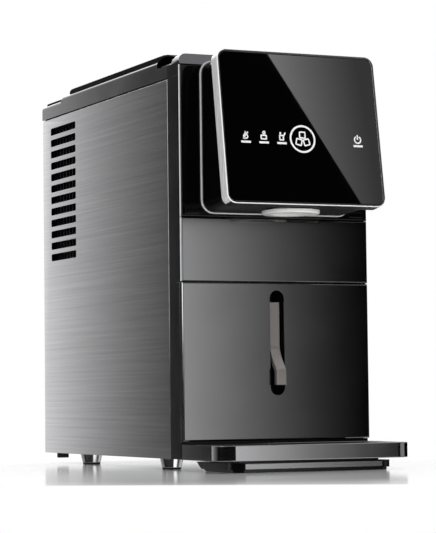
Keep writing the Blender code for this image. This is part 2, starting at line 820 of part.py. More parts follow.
def make_middle_panel():
    """The grey panel between the neck and the lower cover, with a shallow notch in its top edge."""
    panel = box((-half_width, front, middle_bottom), (half_width, front + PANEL_THICK, middle_top))
    panel = polish(panel, panel_back)
    half = NOTCH_WIDTH / 2
    notch = box((-half, front - OVERRUN, middle_top - NOTCH_DEPTH),
                (half, front + PANEL_THICK - SHEET, middle_top + OVERRUN))
    cut(panel, notch)
    keep(panel, "middle_front_panel", "gloss_grey")


def slot_outline():
    """The cup lever's slot in the lower cover, with round ends."""
    half = SLOT_WIDTH / 2
    top = (0, cover_bottom + SLOT_TOP - half)
    bottom = (0, cover_bottom + SLOT_BOTTOM + half)
    return arc(top, half, 0, 180, 8) + arc(bottom, half, 180, 360, 8)


def make_lower_cover():
    """The deep lower cover: front face, four returns and the lever's slot."""
    back = front + COVER_RETURN
    cover = box((-half_width, front, cover_bottom), (half_width, back, cover_top))
    cover = polish(cover, back)
    inner = half_width - COVER_WALL
    hollow = box((-inner, front + PANEL_THICK, cover_bottom + COVER_WALL),
                 (inner, back + OVERRUN, cover_top - COVER_WALL))
    slot = prism(slot_outline(), "Y", front - OVERRUN, back)

    def groove(side):
        low_x, high_x = sorted((side * (half_width - GROOVE_DEPTH), side * (half_width + OVERRUN)))
        return box((low_x, panel_back, cover_bottom - OVERRUN),
                   (high_x, panel_back + GROOVE_WIDTH, cover_top + OVERRUN))

    cut(cover, hollow, slot, *mirrored(groove))
    keep(cover, "lower_front_cover", "gloss_grey")


def top_profile():
    """Side view of the top cover: front bevel, ridge, deck, curved ramp, and tail with its round corner."""
    outline = [(panel_back, side_top + GAP), (panel_back, bevel_z), (front, bevel_z),
               (front + BEVEL_RUN, ridge_z), (front + RIDGE_END, ridge_z),
               (front + RIDGE_END + DECK_STEP, deck_z)]
    for step in range(CORNER_STEPS + 1):
        share = step / CORNER_STEPS
        fall = (1 - math.cos(math.pi * share)) / 2
        outline.append((front + RAMP_START + (RAMP_END - RAMP_START) * share,
                        deck_z - (deck_z - tail_z) * fall))
    outline += arc((rear - TAIL_ROUND, tail_z - TAIL_ROUND), TAIL_ROUND, 90, 0, CORNER_STEPS)
    return outline + [(rear, side_top + GAP)]


def shoulder(side, radius, top, start, end):
    """Cutter that rounds a side edge of the top cover, from start to end along y."""
    centre = (half_width - radius, top - radius)
    outline = arc(centre, radius, 0, 90, CORNER_STEPS)
    outline += [(centre[0], ridge_z + OVERRUN), (half_width + OVERRUN, ridge_z + OVERRUN),
                (half_width + OVERRUN, centre[1])]
    return prism([(side * x, z) for x, z in outline], "Y", start, end)


def ridge_shoulder(side):
    """Cutter for the front ridge's large round shoulder."""
    return shoulder(side, RIDGE_ROUND, ridge_z, front - OVERRUN, front + RIDGE_END + DECK_STEP)


def deck_shoulder(side):
    """Cutter for the round rail along the deck."""
    return shoulder(side, DECK_ROUND, deck_z, front + RIDGE_END + DECK_STEP, front + RAMP_END)


def tail_shoulder(side):
    """Cutter for the round rail along the tail."""
    return shoulder(side, DECK_ROUND, tail_z, front + RAMP_END, rear + OVERRUN)


def tail_plate():
    """The raised plate on the tail, with its round rear end."""
    half = half_width - TAIL_PLATE_INSET
    top = tail_z + TAIL_PLATE_HEIGHT
    end = rear - TAIL_PLATE_INSET
    outline = [(front + TAIL_PLATE_START, tail_z - GAP), (front + TAIL_PLATE_START, top)]
    outline += arc((end - TAIL_PLATE_HEIGHT, tail_z), TAIL_PLATE_HEIGHT, 90, 0, CORNER_STEPS)
    return prism(outline + [(end, tail_z - GAP)], "X", -half, half)


def finger_pocket(side):
    """Cutter for the pocket beside the lid's nose, with a chamfered sill."""
    floor_z = side_top + POCKET_RISE
    outline = [(half_width + OVERRUN, floor_z - POCKET_EDGE - OVERRUN),
               (half_width - POCKET_EDGE, floor_z), (half_width - POCKET_DEPTH, floor_z),
               (half_width - POCKET_DEPTH, ridge_z + OVERRUN), (half_width + OVERRUN, ridge_z + OVERRUN)]
    return prism([(side * x, z) for x, z in outline], "Y", front + RIDGE_END, front + POCKET_END)


def make_top_cover():
    """The stepped top: rim, lid well with its opening, finger pockets and hinge lugs."""
    cover = prism(top_profile(), "X", -half_width, half_width)
    rim = half_width - WELL_RIM
    wall = half_width - TOP_WALL
    hollow = box((-wall, panel_back + TOP_WALL, side_top - OVERRUN), (wall, rear - TOP_WALL, ceiling_z))
    well = box((-rim, front + WELL_START, well_z), (rim, front + WELL_END, ridge_z + OVERRUN))
    gap_half = rim - OPENING_MARGIN
    opening = box((-gap_half, front + OPENING_START, ceiling_z - OVERRUN),
                  (gap_half, front + OPENING_END, well_z + OVERRUN))
    cut(cover, hollow, well, opening, *mirrored(ridge_shoulder), *mirrored(deck_shoulder),
        *mirrored(tail_shoulder), *mirrored(finger_pocket))
    join(cover, tail_plate())

    def lug(place):
        low = (place - LUG_WIDTH / 2, front + LUG_START, well_z - GAP)
        high = (place + LUG_WIDTH / 2, front + WELL_END + GAP, hinge_z)
        head = bar_x(low[0], high[0], (hinge_y, hinge_z), LUG_RADIUS, SMALL_SIDES)
        return join(box(low, high), head)

    join(cover, *[lug(side * place) for side in (-1, 1) for place in (LUG_INNER_PLACE, LUG_PLACE)])
    reach = LUG_PLACE + LUG_WIDTH / 2
    bore = bar_x(-reach - OVERRUN, reach + OVERRUN, (hinge_y, hinge_z), HINGE_PIN_RADIUS + FIT,
                 SMALL_SIDES)
    cut(cover, bore)
    keep(cover, "top_cover", "black_plastic")
    pin = bar_x(-reach, reach, (hinge_y, hinge_z), HINGE_PIN_RADIUS, SMALL_SIDES)
    keep(pin, "lid_hinge_pin", "stainless")


def lid_profile():
    """Side view of the lid's plate, with its sloping nose and its rounded rear end."""
    bottom = deck_z + GAP
    top = bottom + LID_THICK
    nose = front + LID_START
    points = [(nose + LID_NOSE * run, bottom + LID_THICK * rise) for run, rise in NOSE_SHARES]
    edge = bottom + LID_TAIL_EDGE
    tail = [(front + LID_END - LID_TAIL + LID_TAIL * run, edge + (top - edge) * rise)
            for run, rise in arc((0, 0), 1, 0, 90, CORNER_STEPS)]
    return [(front + LID_END, bottom)] + tail + points


def lid_arch(side):
    """Cutter that arches the plate's underside over a finger pocket."""
    start = front + ARCH_START
    end = front + POCKET_END
    half = (end - start) / 2
    radius = (half * half + ARCH_RISE * ARCH_RISE) / (2 * ARCH_RISE)
    centre = (start + half, deck_z + GAP + ARCH_RISE - radius)
    spread = math.degrees(math.asin(half / radius))
    outline = arc(centre, radius, 90 - spread, 90 + spread, 8)
    outline += [(start, deck_z - OVERRUN), (end, deck_z - OVERRUN)]
    low_x, high_x = sorted((side * (half_width - POCKET_DEPTH), side * (half_width + OVERRUN)))
    return prism(outline, "X", low_x, high_x)


def make_lid():
    """The black lid on its rear hinge, with a skirt, two ears and a seal."""
    pivot = (0, hinge_y, hinge_z)
    plate_half = half_width - LID_INSET
    lid = prism(lid_profile(), "X", -plate_half, plate_half)
    cut(lid, *mirrored(lid_arch))
    top = deck_z + GAP + LID_THICK
    crown = bevel(lid, LID_CROWN, 2, lambda a, b: near(a.x, b.x) and near(abs(a.x), plate_half)
                  and near(a.z, top) and near(b.z, top))
    skirt_half = half_width - WELL_RIM - GAP
    skirt_start = front + WELL_START + GAP
    skirt_bottom = well_z + GAP + SEAL_HEIGHT + GAP
    inner_top = deck_z + GAP + LID_THICK - LID_WALL
    skirt = box((-skirt_half, skirt_start, skirt_bottom),
                (skirt_half, front + SKIRT_END, deck_z + GAP + LID_CROWN))
    hollow_side = skirt_half - SEAL_WIDTH
    hollow = box((-hollow_side, skirt_start + SEAL_WIDTH, skirt_bottom - OVERRUN),
                 (hollow_side, front + SKIRT_END - SEAL_WIDTH, inner_top))

    def ear(side):
        low_x = side * EAR_PLACE - EAR_WIDTH / 2
        high_x = side * EAR_PLACE + EAR_WIDTH / 2
        arm = box((low_x, front + SKIRT_END - LID_WALL, hinge_z - LID_WALL), (high_x, hinge_y, deck_z))
        eye = bar_x(low_x, high_x, (hinge_y, hinge_z), EAR_RADIUS, SMALL_SIDES)
        return join(arm, eye)

    join(crown, skirt, *mirrored(ear))
    reach = EAR_PLACE + EAR_WIDTH
    bore = bar_x(-reach, reach, (hinge_y, hinge_z), HINGE_PIN_RADIUS + FIT, SMALL_SIDES)
    cut(crown, hollow, bore)
    keep(crown, "top_lid", "gloss_black", pivot)
    seal = box((-skirt_half + GAP, skirt_start + GAP, well_z + GAP),
               (skirt_half - GAP, front + SKIRT_END - GAP, well_z + GAP + SEAL_HEIGHT))
    window = box((-hollow_side, skirt_start + SEAL_WIDTH, well_z - OVERRUN),
                 (hollow_side, front + SKIRT_END - SEAL_WIDTH, well_z + SEAL_HEIGHT + OVERRUN))
    cut(seal, window)
    keep(seal, "lid_seal", "rubber", pivot)


def bezel_back(height):
    """The y of the head's tilted rear plane at this height."""
    middle = head_centre + Vector((0, math.cos(lean), -math.sin(lean))) * HEAD_DEPTH
    return middle.y + (height - middle.z) * math.tan(lean)


def tapered(rear_outline, rear_y, front_outline, front_y):
    """A solid between an upright outline at rear_y and one whose points lie at front_y(height)."""
    bm = bmesh.new()
    start = [bm.verts.new((x, rear_y, z)) for x, z in rear_outline]
    end = [bm.verts.new((x, front_y(z), z)) for x, z in front_outline]
    loops = [bm.edges.new((ring[index - 1], ring[index])) for ring in (start, end)
             for index in range(len(ring))]
    bmesh.ops.bridge_loops(bm, edges=loops)
    bm.faces.new(start)
    bm.faces.new(end)
    return object_from(bm)


def neck_outlines(inset):
    """The neck's rear and front outlines, drawn in by inset."""
    half = NECK_WIDTH / 2 - inset
    bottom = base + NECK_BOTTOM + inset
    top = base + NECK_TOP - inset
    corner = NECK_CORNER - inset
    rear_outline = rounded((-half, bottom), (half, top), corner)
    front_outline = rounded((-half, bottom + NECK_SLOPE_RISE), (half, top), corner)
    return rear_outline, front_outline


def nozzle_top():
    """Height of the nozzle ring's flat top, just under the bezel's lowest edge."""
    lowest = head_centre - Vector((0, math.sin(lean), math.cos(lean))) * HEAD_HEIGHT / 2
    return lowest.z - math.sin(lean) * HEAD_DEPTH - GAP


def make_neck():
    """The black housing between case and head, and the bright trim where it meets the case."""
    rear_outline, front_outline = neck_outlines(0)
    neck = tapered(rear_outline, neck_rear, front_outline, lambda z: bezel_back(z) + GAP)
    rear_inner, front_inner = neck_outlines(NECK_WALL)
    hollow = tapered(rear_inner, neck_rear + OVERRUN, front_inner, lambda z: bezel_back(z) - OVERRUN)
    centre = (0, front - NOZZLE_REACH)
    low = base + NECK_BOTTOM - OVERRUN
    seat = rod((*centre, low), (*centre, nozzle_top() + GAP), NOZZLE_RADIUS + GAP)
    hole = rod((*centre, low), (*centre, low + COLLAR_RISE), COLLAR_RADIUS + RUN)
    cut(neck, hollow, seat, hole)
    keep(neck, "neck_housing", "gloss_black")

    outer, _ = neck_outlines(-TRIM_PROUD)
    inner, _ = neck_outlines(TRIM_WIDTH - TRIM_PROUD)
    trim = prism(outer, "Y", front - GAP - TRIM_THICK, front - GAP)
    cut(trim, prism(inner, "Y", front - TRIM_THICK - OVERRUN, front + OVERRUN))
    keep(trim, "neck_trim", "bright_trim")


def make_head():
    """The tilted head: bright bezel, glass, rear plate and control board, in the head's own frame.

    Here x is across, y is the depth behind the front face, and z climbs along the face.
    """
    tilt = bpy.data.objects.new("head_tilt", None)
    bpy.context.scene.collection.objects.link(tilt)
    tilt.location = head_centre
    tilt.rotation_euler.x = -lean

    def outline(inset):
        half = (HEAD_WIDTH / 2 - inset, HEAD_HEIGHT / 2 - inset)
        return rounded((-half[0], -half[1]), half, HEAD_CORNER - inset, CORNER_STEPS + 1)

    bezel = bevel(prism(outline(0), "Y", 0, HEAD_DEPTH), BEZEL_EDGE, 2,
                  lambda a, b: near(a.y, 0) and near(b.y, 0))
    seat_inset = BEZEL_WALL + BEZEL_LEDGE
    seat = GLASS_RECESS + GLASS_THICK + GAP
    plate_start = HEAD_DEPTH - BACK_PLATE
    cut(bezel, prism(outline(BEZEL_WALL), "Y", -OVERRUN, seat),
        prism(outline(seat_inset), "Y", -OVERRUN, HEAD_DEPTH + OVERRUN),
        prism(outline(BEZEL_WALL), "Y", plate_start - GAP, HEAD_DEPTH + OVERRUN))
    keep(bezel, "head_bezel", "bright_trim", parent=tilt)
    glass = prism(outline(BEZEL_WALL + GAP), "Y", GLASS_RECESS, GLASS_RECESS + GLASS_THICK)
    keep(glass, "control_glass", "gloss_black", parent=tilt)

    plate = prism(outline(BEZEL_WALL + GAP), "Y", plate_start, HEAD_DEPTH)
    board_back = BOARD_DEPTH + BOARD_THICK
    across = BOARD_WIDTH / 2 - POST_RADIUS * 2
    up = BOARD_HEIGHT / 2 - POST_RADIUS * 2
    posts = [bar_y(board_back + GAP, HEAD_DEPTH - GAP, (side * across, rise * up), POST_RADIUS, SMALL_SIDES)
             for side in (-1, 1) for rise in (-1, 1)]
    join(plate, *posts)
    cut(plate, bar_y(board_back, HEAD_DEPTH + OVERRUN, (0, 0), CABLE_HOLE, SMALL_SIDES))
    keep(plate, "head_back_plate", "black_plastic", parent=tilt)

    board = box((-BOARD_WIDTH / 2, BOARD_DEPTH, -BOARD_HEIGHT / 2),
                (BOARD_WIDTH / 2, board_back, BOARD_HEIGHT / 2))
    chips = [box((place * CHIP_SIZE * 2 - CHIP_SIZE / 2, board_back - GAP, -CHIP_SIZE / 2),
                 (place * CHIP_SIZE * 2 + CHIP_SIZE / 2, board_back + CHIP_THICK, CHIP_SIZE / 2))
             for place in (-1, 1)]
    join(board, *chips)
    keep(board, "control_board", "board_green", parent=tilt)


def make_nozzle():
    """The white ice nozzle in the neck's underside, and the chute above it."""
    y = front - NOZZLE_REACH
    top = nozzle_top()
    bottom = top - NOZZLE_HEIGHT
    floor = top + COLLAR_RISE
    ring = bar_z(bottom, top, (0, y), NOZZLE_RADIUS)
    bevel(ring, NOZZLE_EDGE, 2, lambda a, b: near(a.z, bottom) and near(b.z, bottom))
    join(ring, bar_z(top - NOZZLE_HEIGHT / 2, floor, (0, y), COLLAR_RADIUS))
    cut(ring, bar_z(bottom - OVERRUN, floor + OVERRUN, (0, y), NOZZLE_BORE))
    keep(ring, "nozzle_ring", "white_plastic")

    half = CHUTE_INNER / 2
    roof = auger_z + CHUTE_TOP
    back = front - CHUTE_BACK
    near_y = front - CHUTE_FRONT
    chute = box((-half - CHUTE_WALL, near_y, floor + GAP), (half + CHUTE_WALL, back, roof))
    hollow = box((-half, near_y + CHUTE_WALL, floor - OVERRUN),
                 (half, back - CHUTE_WALL, roof - CHUTE_WALL))
    port = bar_y(back - CHUTE_WALL - GATE_SPACE, back + OVERRUN, (0, auger_z), TUBE_RADIUS)
    pin_hole = bar_x(-half - CHUTE_WALL - OVERRUN, half + CHUTE_WALL + OVERRUN,
                     (gate_pin_y, gate_pin_z), GATE_PIN_RADIUS + FIT, SMALL_SIDES)
    cut(chute, hollow, port, pin_hole)
    keep(chute, "ice_chute", "white_plastic")


def make_gate():
    """The flap that closes the ice tube, its pin, and the small motor that turns it."""
    pivot = (0, gate_pin_y, gate_pin_z)
    half = GATE_WIDTH / 2
    flap = box((-half, gate_pin_y - GATE_THICK / 2, gate_pin_z - GATE_LENGTH),
               (half, gate_pin_y + GATE_THICK / 2, gate_pin_z))
    knuckle = bar_x(-half, half, (gate_pin_y, gate_pin_z), GATE_KNUCKLE, SMALL_SIDES)
    join(flap, knuckle)
    cut(flap, bar_x(-half - OVERRUN, half + OVERRUN, (gate_pin_y, gate_pin_z), GATE_PIN_RADIUS + FIT,
                    SMALL_SIDES))
    keep(flap, "ice_gate", "white_plastic", pivot)
    wall = CHUTE_INNER / 2 + CHUTE_WALL
    motor_start = wall + GAP
    pin_end = motor_start + GATE_MOTOR_LENGTH / 2
    pin = bar_x(-wall, pin_end, (gate_pin_y, gate_pin_z), GATE_PIN_RADIUS, SMALL_SIDES)
    keep(pin, "gate_pin", "stainless", pivot)
    motor = bar_x(motor_start, motor_start + GATE_MOTOR_LENGTH, (gate_pin_y, gate_pin_z),
                  GATE_MOTOR_RADIUS)
    cut(motor, bar_x(motor_start - OVERRUN, pin_end + RUN, (gate_pin_y, gate_pin_z),
                     GATE_PIN_RADIUS + FIT, SMALL_SIDES))
    keep(motor, "gate_motor", "painted_black")


def lever_route():
    """Centre line of the cup lever in (y, z): straight bar, forward bend, upright tip."""
    back = front + LEVER_RECESS + LEVER_THICK / 2
    tip = front - LEVER_REACH + LEVER_THICK / 2
    top = cover_bottom + LEVER_BEND
    bottom = cover_bottom + LEVER_ELBOW
    points = [(back, cover_bottom + LEVER_TOP)]
    points += [(back + (tip - back) * run, top + (bottom - top) * fall)
               for run, fall in LEVER_BEND_SHARES]
    return points + [(tip, cover_bottom + LEVER_TIP)]


def make_lever():
    """The cup lever, with its pivot boss, pin and return spring."""
    pivot = (0, lever_pivot_y, lever_pivot_z)
    half = LEVER_WIDTH / 2
    lever = prism(strip(lever_route(), LEVER_THICK), "X", -half, half)
    boss = bar_x(-half, half, (lever_pivot_y, lever_pivot_z), LEVER_BOSS, SMALL_SIDES)
    join(lever, boss)
    cut(lever, bar_x(-half - OVERRUN, half + OVERRUN, (lever_pivot_y, lever_pivot_z),
                     LEVER_PIN_RADIUS + FIT, SMALL_SIDES))
    keep(lever, "dispense_lever", "black_plastic", pivot)
    reach = CHANNEL_INNER / 2 + CHANNEL_WALL
    pin = bar_x(-reach, reach, (lever_pivot_y, lever_pivot_z), LEVER_PIN_RADIUS, SMALL_SIDES)
    keep(pin, "lever_pin", "stainless")

    start = half + GAP + SPRING_WIRE
    points = []
    for index in range(SPRING_TURNS_COUNT * FLIGHT_STEPS + 1):
        turn = index / FLIGHT_STEPS
        angle = math.tau * turn
        points.append((start + SPRING_PITCH * turn, lever_pivot_y + SPRING_RADIUS * math.cos(angle),
                       lever_pivot_z + SPRING_RADIUS * math.sin(angle)))
    keep(pipe(points, SPRING_WIRE, 1), "lever_spring", "stainless")


def make_channel():
    """The channel that closes the lever's slot from behind, with the cup switch on its back wall."""
    half = CHANNEL_INNER / 2
    face = front + PANEL_THICK + GAP
    floor_z = cover_bottom + SLOT_BOTTOM - CHANNEL_DROP
    roof_z = cover_bottom + SLOT_TOP + CHANNEL_RISE
    back = front + CHANNEL_DEPTH
    body = box((-half - CHANNEL_WALL, face, floor_z), (half + CHANNEL_WALL, back, roof_z + CHANNEL_WALL))
    flange = box((-half - CHANNEL_FLANGE, face, floor_z - CHANNEL_FLANGE),
                 (half + CHANNEL_FLANGE, face + CHANNEL_WALL, roof_z + CHANNEL_WALL))
    join(body, flange)
    hollow = box((-half, face - OVERRUN, floor_z + CHANNEL_WALL), (half, back - CHANNEL_WALL, roof_z))
    reach = half + CHANNEL_WALL + OVERRUN
    hole = bar_x(-reach, reach, (lever_pivot_y, lever_pivot_z), LEVER_PIN_RADIUS + FIT, SMALL_SIDES)
    cut(body, hollow, hole)
    keep(body, "lever_channel", "black_plastic")

    switch_back = back - CHANNEL_WALL - GAP
    tip = front + LEVER_RECESS + LEVER_THICK + GAP
    switch_front = tip + PLUNGER_PROUD
    middle = lever_pivot_z - SWITCH_DROP
    switch = box((-SWITCH_WIDTH / 2, switch_front, middle - SWITCH_HEIGHT / 2),
                 (SWITCH_WIDTH / 2, switch_back, middle + SWITCH_HEIGHT / 2))
    pocket = PLUNGER_SIZE / 2 + GAP
    cut(switch, box((-pocket, switch_front - OVERRUN, middle - pocket),
                    (pocket, switch_front + PLUNGER_POCKET, middle + pocket)))
    keep(switch, "lever_switch", "painted_black")
    button = box((-PLUNGER_SIZE / 2, tip, middle - PLUNGER_SIZE / 2),
                 (PLUNGER_SIZE / 2, tip + PLUNGER_LENGTH, middle + PLUNGER_SIZE / 2))
    keep(button, "switch_plunger", "white_plastic", (0, switch_front, middle))


def make_tray():
    """The drip tray with its ledge, and the slotted grate that lies in it."""
    half = TRAY_WIDTH / 2
    near_y = front - TRAY_REACH
    far_y = front - GAP
    top = TRAY_BOTTOM + TRAY_HEIGHT
    tray = prism(front_rounded(half, near_y, far_y, TRAY_CORNER, CORNER_STEPS + 3), "Z", TRAY_BOTTOM, top)
    tray = bevel(tray, TRAY_EDGE, 1, lambda a, b: near(a.z, TRAY_BOTTOM) and near(b.z, TRAY_BOTTOM)
                 and not (near(a.y, far_y) and near(b.y, far_y)))

    def inside(inset):
        return front_rounded(half - inset, near_y + inset, far_y - inset, TRAY_CORNER - inset)

    grate_seat = top - GRATE_THICK - GAP
    deep = TRAY_RIM + TRAY_LEDGE
    cut(tray, prism(inside(TRAY_RIM), "Z", grate_seat, top + OVERRUN),
        prism(inside(deep), "Z", TRAY_BOTTOM + TRAY_FLOOR, top + OVERRUN))
    keep(tray, "drip_tray", "gloss_grey")

    grate = prism(inside(TRAY_RIM + GAP), "Z", grate_seat + GAP, grate_seat + GAP + GRATE_THICK - GAP)
    row_length = (far_y - near_y - 2 * GRATE_BORDER - (GRATE_ROW_COUNT - 1) * GRATE_RIB) / GRATE_ROW_COUNT
    slots = []
    for row in range(GRATE_ROW_COUNT):
        start = near_y + GRATE_BORDER + row * (row_length + GRATE_RIB)
        for column in range(GRATE_SLOT_COUNT):
            middle = (column - (GRATE_SLOT_COUNT - 1) / 2) * GRATE_PITCH
            slots.append(box((middle - GRATE_SLOT_WIDTH / 2, start, grate_seat - OVERRUN),
                             (middle + GRATE_SLOT_WIDTH / 2, start + row_length, top + OVERRUN)))
    cut(grate, *slots)
    keep(grate, "drip_grate", "painted_black")


def make_tray_base():
    """The foot of the tray: a rounded block on the table, with a tongue under the case."""
    half = BASE_WIDTH / 2
    near_y = front - BASE_REACH
    far_y = front + BASE_SLANT_TOP
    inset = BASE_LIP_INSET
    block = prism(front_rounded(half, near_y, far_y, BASE_CORNER), "Z", BASE_LIP, BASE_TOP)
    lip = prism(front_rounded(half - inset, near_y + inset, far_y - inset, BASE_CORNER - inset),
                "Z", 0, BASE_LIP + inset / 2)
    join(block, lip)
    groove_half = half - BASE_CORNER
    groove = box((-groove_half, near_y - OVERRUN, BASE_LIP + BASE_GROOVE),
                 (groove_half, near_y + BASE_GROOVE, BASE_TOP - BASE_GROOVE))
    slant = prism([(far_y, BASE_TOP), (front - BASE_SLANT_BOTTOM, 0), (far_y + OVERRUN, -OVERRUN),
                   (far_y + OVERRUN, BASE_TOP + OVERRUN)], "X", -half - OVERRUN, half + OVERRUN)
    cut(block, groove, slant)
    plateau_half = half - PLATEAU_INSET
    plateau = box((-plateau_half, near_y + PLATEAU_INSET, BASE_TOP - GAP),
                  (plateau_half, front - PLATEAU_START, TRAY_BOTTOM - GAP))
    tongue = box((-TONGUE_WIDTH / 2, front - PLATEAU_INSET, TONGUE_BOTTOM),
                 (TONGUE_WIDTH / 2, front + TONGUE_REACH, base - GAP))
    join(block, plateau, tongue)
    keep(block, "tray_base", "painted_black")


def make_feet():
    """Four tapered feet under the pan."""
    places = {"front": front + FRONT_FOOT_STATION, "rear": rear - REAR_FOOT_SPACE}
    for row, y in places.items():
        for side, word in ((-1, "left"), (1, "right")):
            x = side * (half_width - FOOT_INSET)
            foot = bar_z(0, base - GAP, (x, y), FOOT_BOTTOM_RADIUS, end_radius=FOOT_TOP_RADIUS)
            keep(foot, f"foot_{row}_{word}", "rubber")


def make_inner_frame():
    """The folded sheet that divides the case and carries the bin, and the shelf behind it."""
    start = panel_back + FRAME_WALL + GAP
    low = pan_top + GAP
    wall = box((-inner_half, bulkhead_front, low), (inner_half, bulkhead_back, shelf_z + BULKHEAD_TOP))
    shelf = box((-inner_half, start, shelf_z - SHELF_SHEET), (inner_half, bulkhead_back, shelf_z))
    join(wall, shelf)
    shaft = bar_y(bulkhead_front - OVERRUN, bulkhead_back + OVERRUN, (0, auger_z),
                  BIN_SHAFT_RADIUS + RUN, SMALL_SIDES)
    cut(wall, shaft)
    keep(wall, "inner_frame", "zinc_sheet")

    back = back_inside - GAP
    outer = half_width - SHEET - GAP
    plate = box((-outer, bulkhead_back + GAP, rear_shelf_z - SHELF_SHEET), (outer, back, rear_shelf_z))
    holes = [bar_z(rear_shelf_z - SHELF_SHEET - OVERRUN, rear_shelf_z + OVERRUN, (x, y), radius,
                   SMALL_SIDES)
             for x, y, radius in ((barrel_x, barrel_y, ICE_SHAFT_RADIUS + RUN),
                                  (*hose_hole(), PIPE_HOLE_RADIUS),
                                  (*pump_hole(), PIPE_HOLE_RADIUS),
                                  (*gas_hole(), PIPE_HOLE_RADIUS),
                                  (*return_hole(), PIPE_HOLE_RADIUS))]
    cut(plate, *holes)
    keep(plate, "rear_shelf", "zinc_sheet")


def bin_section(inset):
    """Half section of the ice bin in (x, z), from the trough up to the rim, as a closed outline."""
    wall = inner_half - BIN_SIDE_SPACE - inset
    trough = TROUGH_RADIUS + BIN_WALL - inset
    shoulder = auger_z + BIN_RUN_SLOPE - inset / 2
    top = shelf_z + GAP + BIN_HEIGHT
    outline = [(wall, top + (OVERRUN if inset else 0)), (-wall, top + (OVERRUN if inset else 0)),
               (-wall, shoulder)]
    outline += arc((0, auger_z), trough, 180, 360, 10)
    return outline + [(wall, shoulder)]


def make_bin():
    """The ice bin with its trough and outlet tube, its auger and the motor behind it."""
    start = front + BIN_FRONT
    end = bulkhead_front - GAP
    hopper = prism(bin_section(0), "Y", start, end)
    tube = bar_y(front - TUBE_END, start + BIN_WALL, (0, auger_z), TUBE_RADIUS + BIN_WALL)

    def foot(side):
        middle = side * BIN_FOOT_PLACE
        return box((middle - BIN_FOOT_WIDTH / 2, start, shelf_z + GAP),
                   (middle + BIN_FOOT_WIDTH / 2, end, auger_z + BIN_RUN_SLOPE - BIN_WALL))

    join(hopper, tube, *mirrored(foot))
    hollow = prism(bin_section(BIN_WALL), "Y", start + BIN_WALL, end - BIN_WALL)
    bore = bar_y(front - TUBE_END - OVERRUN, start + BIN_WALL + OVERRUN, (0, auger_z), TUBE_RADIUS)
    shaft_hole = bar_y(end - BIN_WALL - OVERRUN, end + OVERRUN, (0, auger_z), BIN_SHAFT_RADIUS + RUN,
                       SMALL_SIDES)
    cut(hopper, hollow, bore, shaft_hole)
    keep(hopper, "ice_bin", "clear_plastic")

    auger_start = front - BIN_AUGER_START
    auger_end = end - BIN_WALL - RUN
    screw = flight(BIN_SHAFT_RADIUS, BIN_AUGER_RADIUS, FLIGHT_THICK, BIN_AUGER_PITCH,
                   auger_end - auger_start)
    turn = Matrix.Rotation(-math.pi / 2, 4, "X")
    screw.data.transform(Matrix.Translation((0, auger_start, auger_z)) @ turn)
    motor_start = bulkhead_back + GAP
    shaft_end = motor_start + MOTOR_SOCKET
    shaft = bar_y(auger_start, shaft_end, (0, auger_z), BIN_SHAFT_RADIUS, SMALL_SIDES)
    join(screw, shaft)
    keep(screw, "bin_auger", "stainless", (0, auger_start, auger_z))
    half = BIN_MOTOR_SIZE / 2
    motor = box((-half, motor_start, auger_z - half),
                (half, motor_start + BIN_MOTOR_DEPTH, auger_z + half))
    cut(motor, bar_y(motor_start - OVERRUN, shaft_end + RUN, (0, auger_z), BIN_SHAFT_RADIUS + RUN,
                     SMALL_SIDES))
    keep(motor, "bin_motor", "painted_black")


def barrel_rod(bottom, top, radius, sides=ROUND_SIDES):
    """A round bar on the ice barrel's axis."""
    return bar_z(bottom, top, (barrel_x, barrel_y), radius, sides)


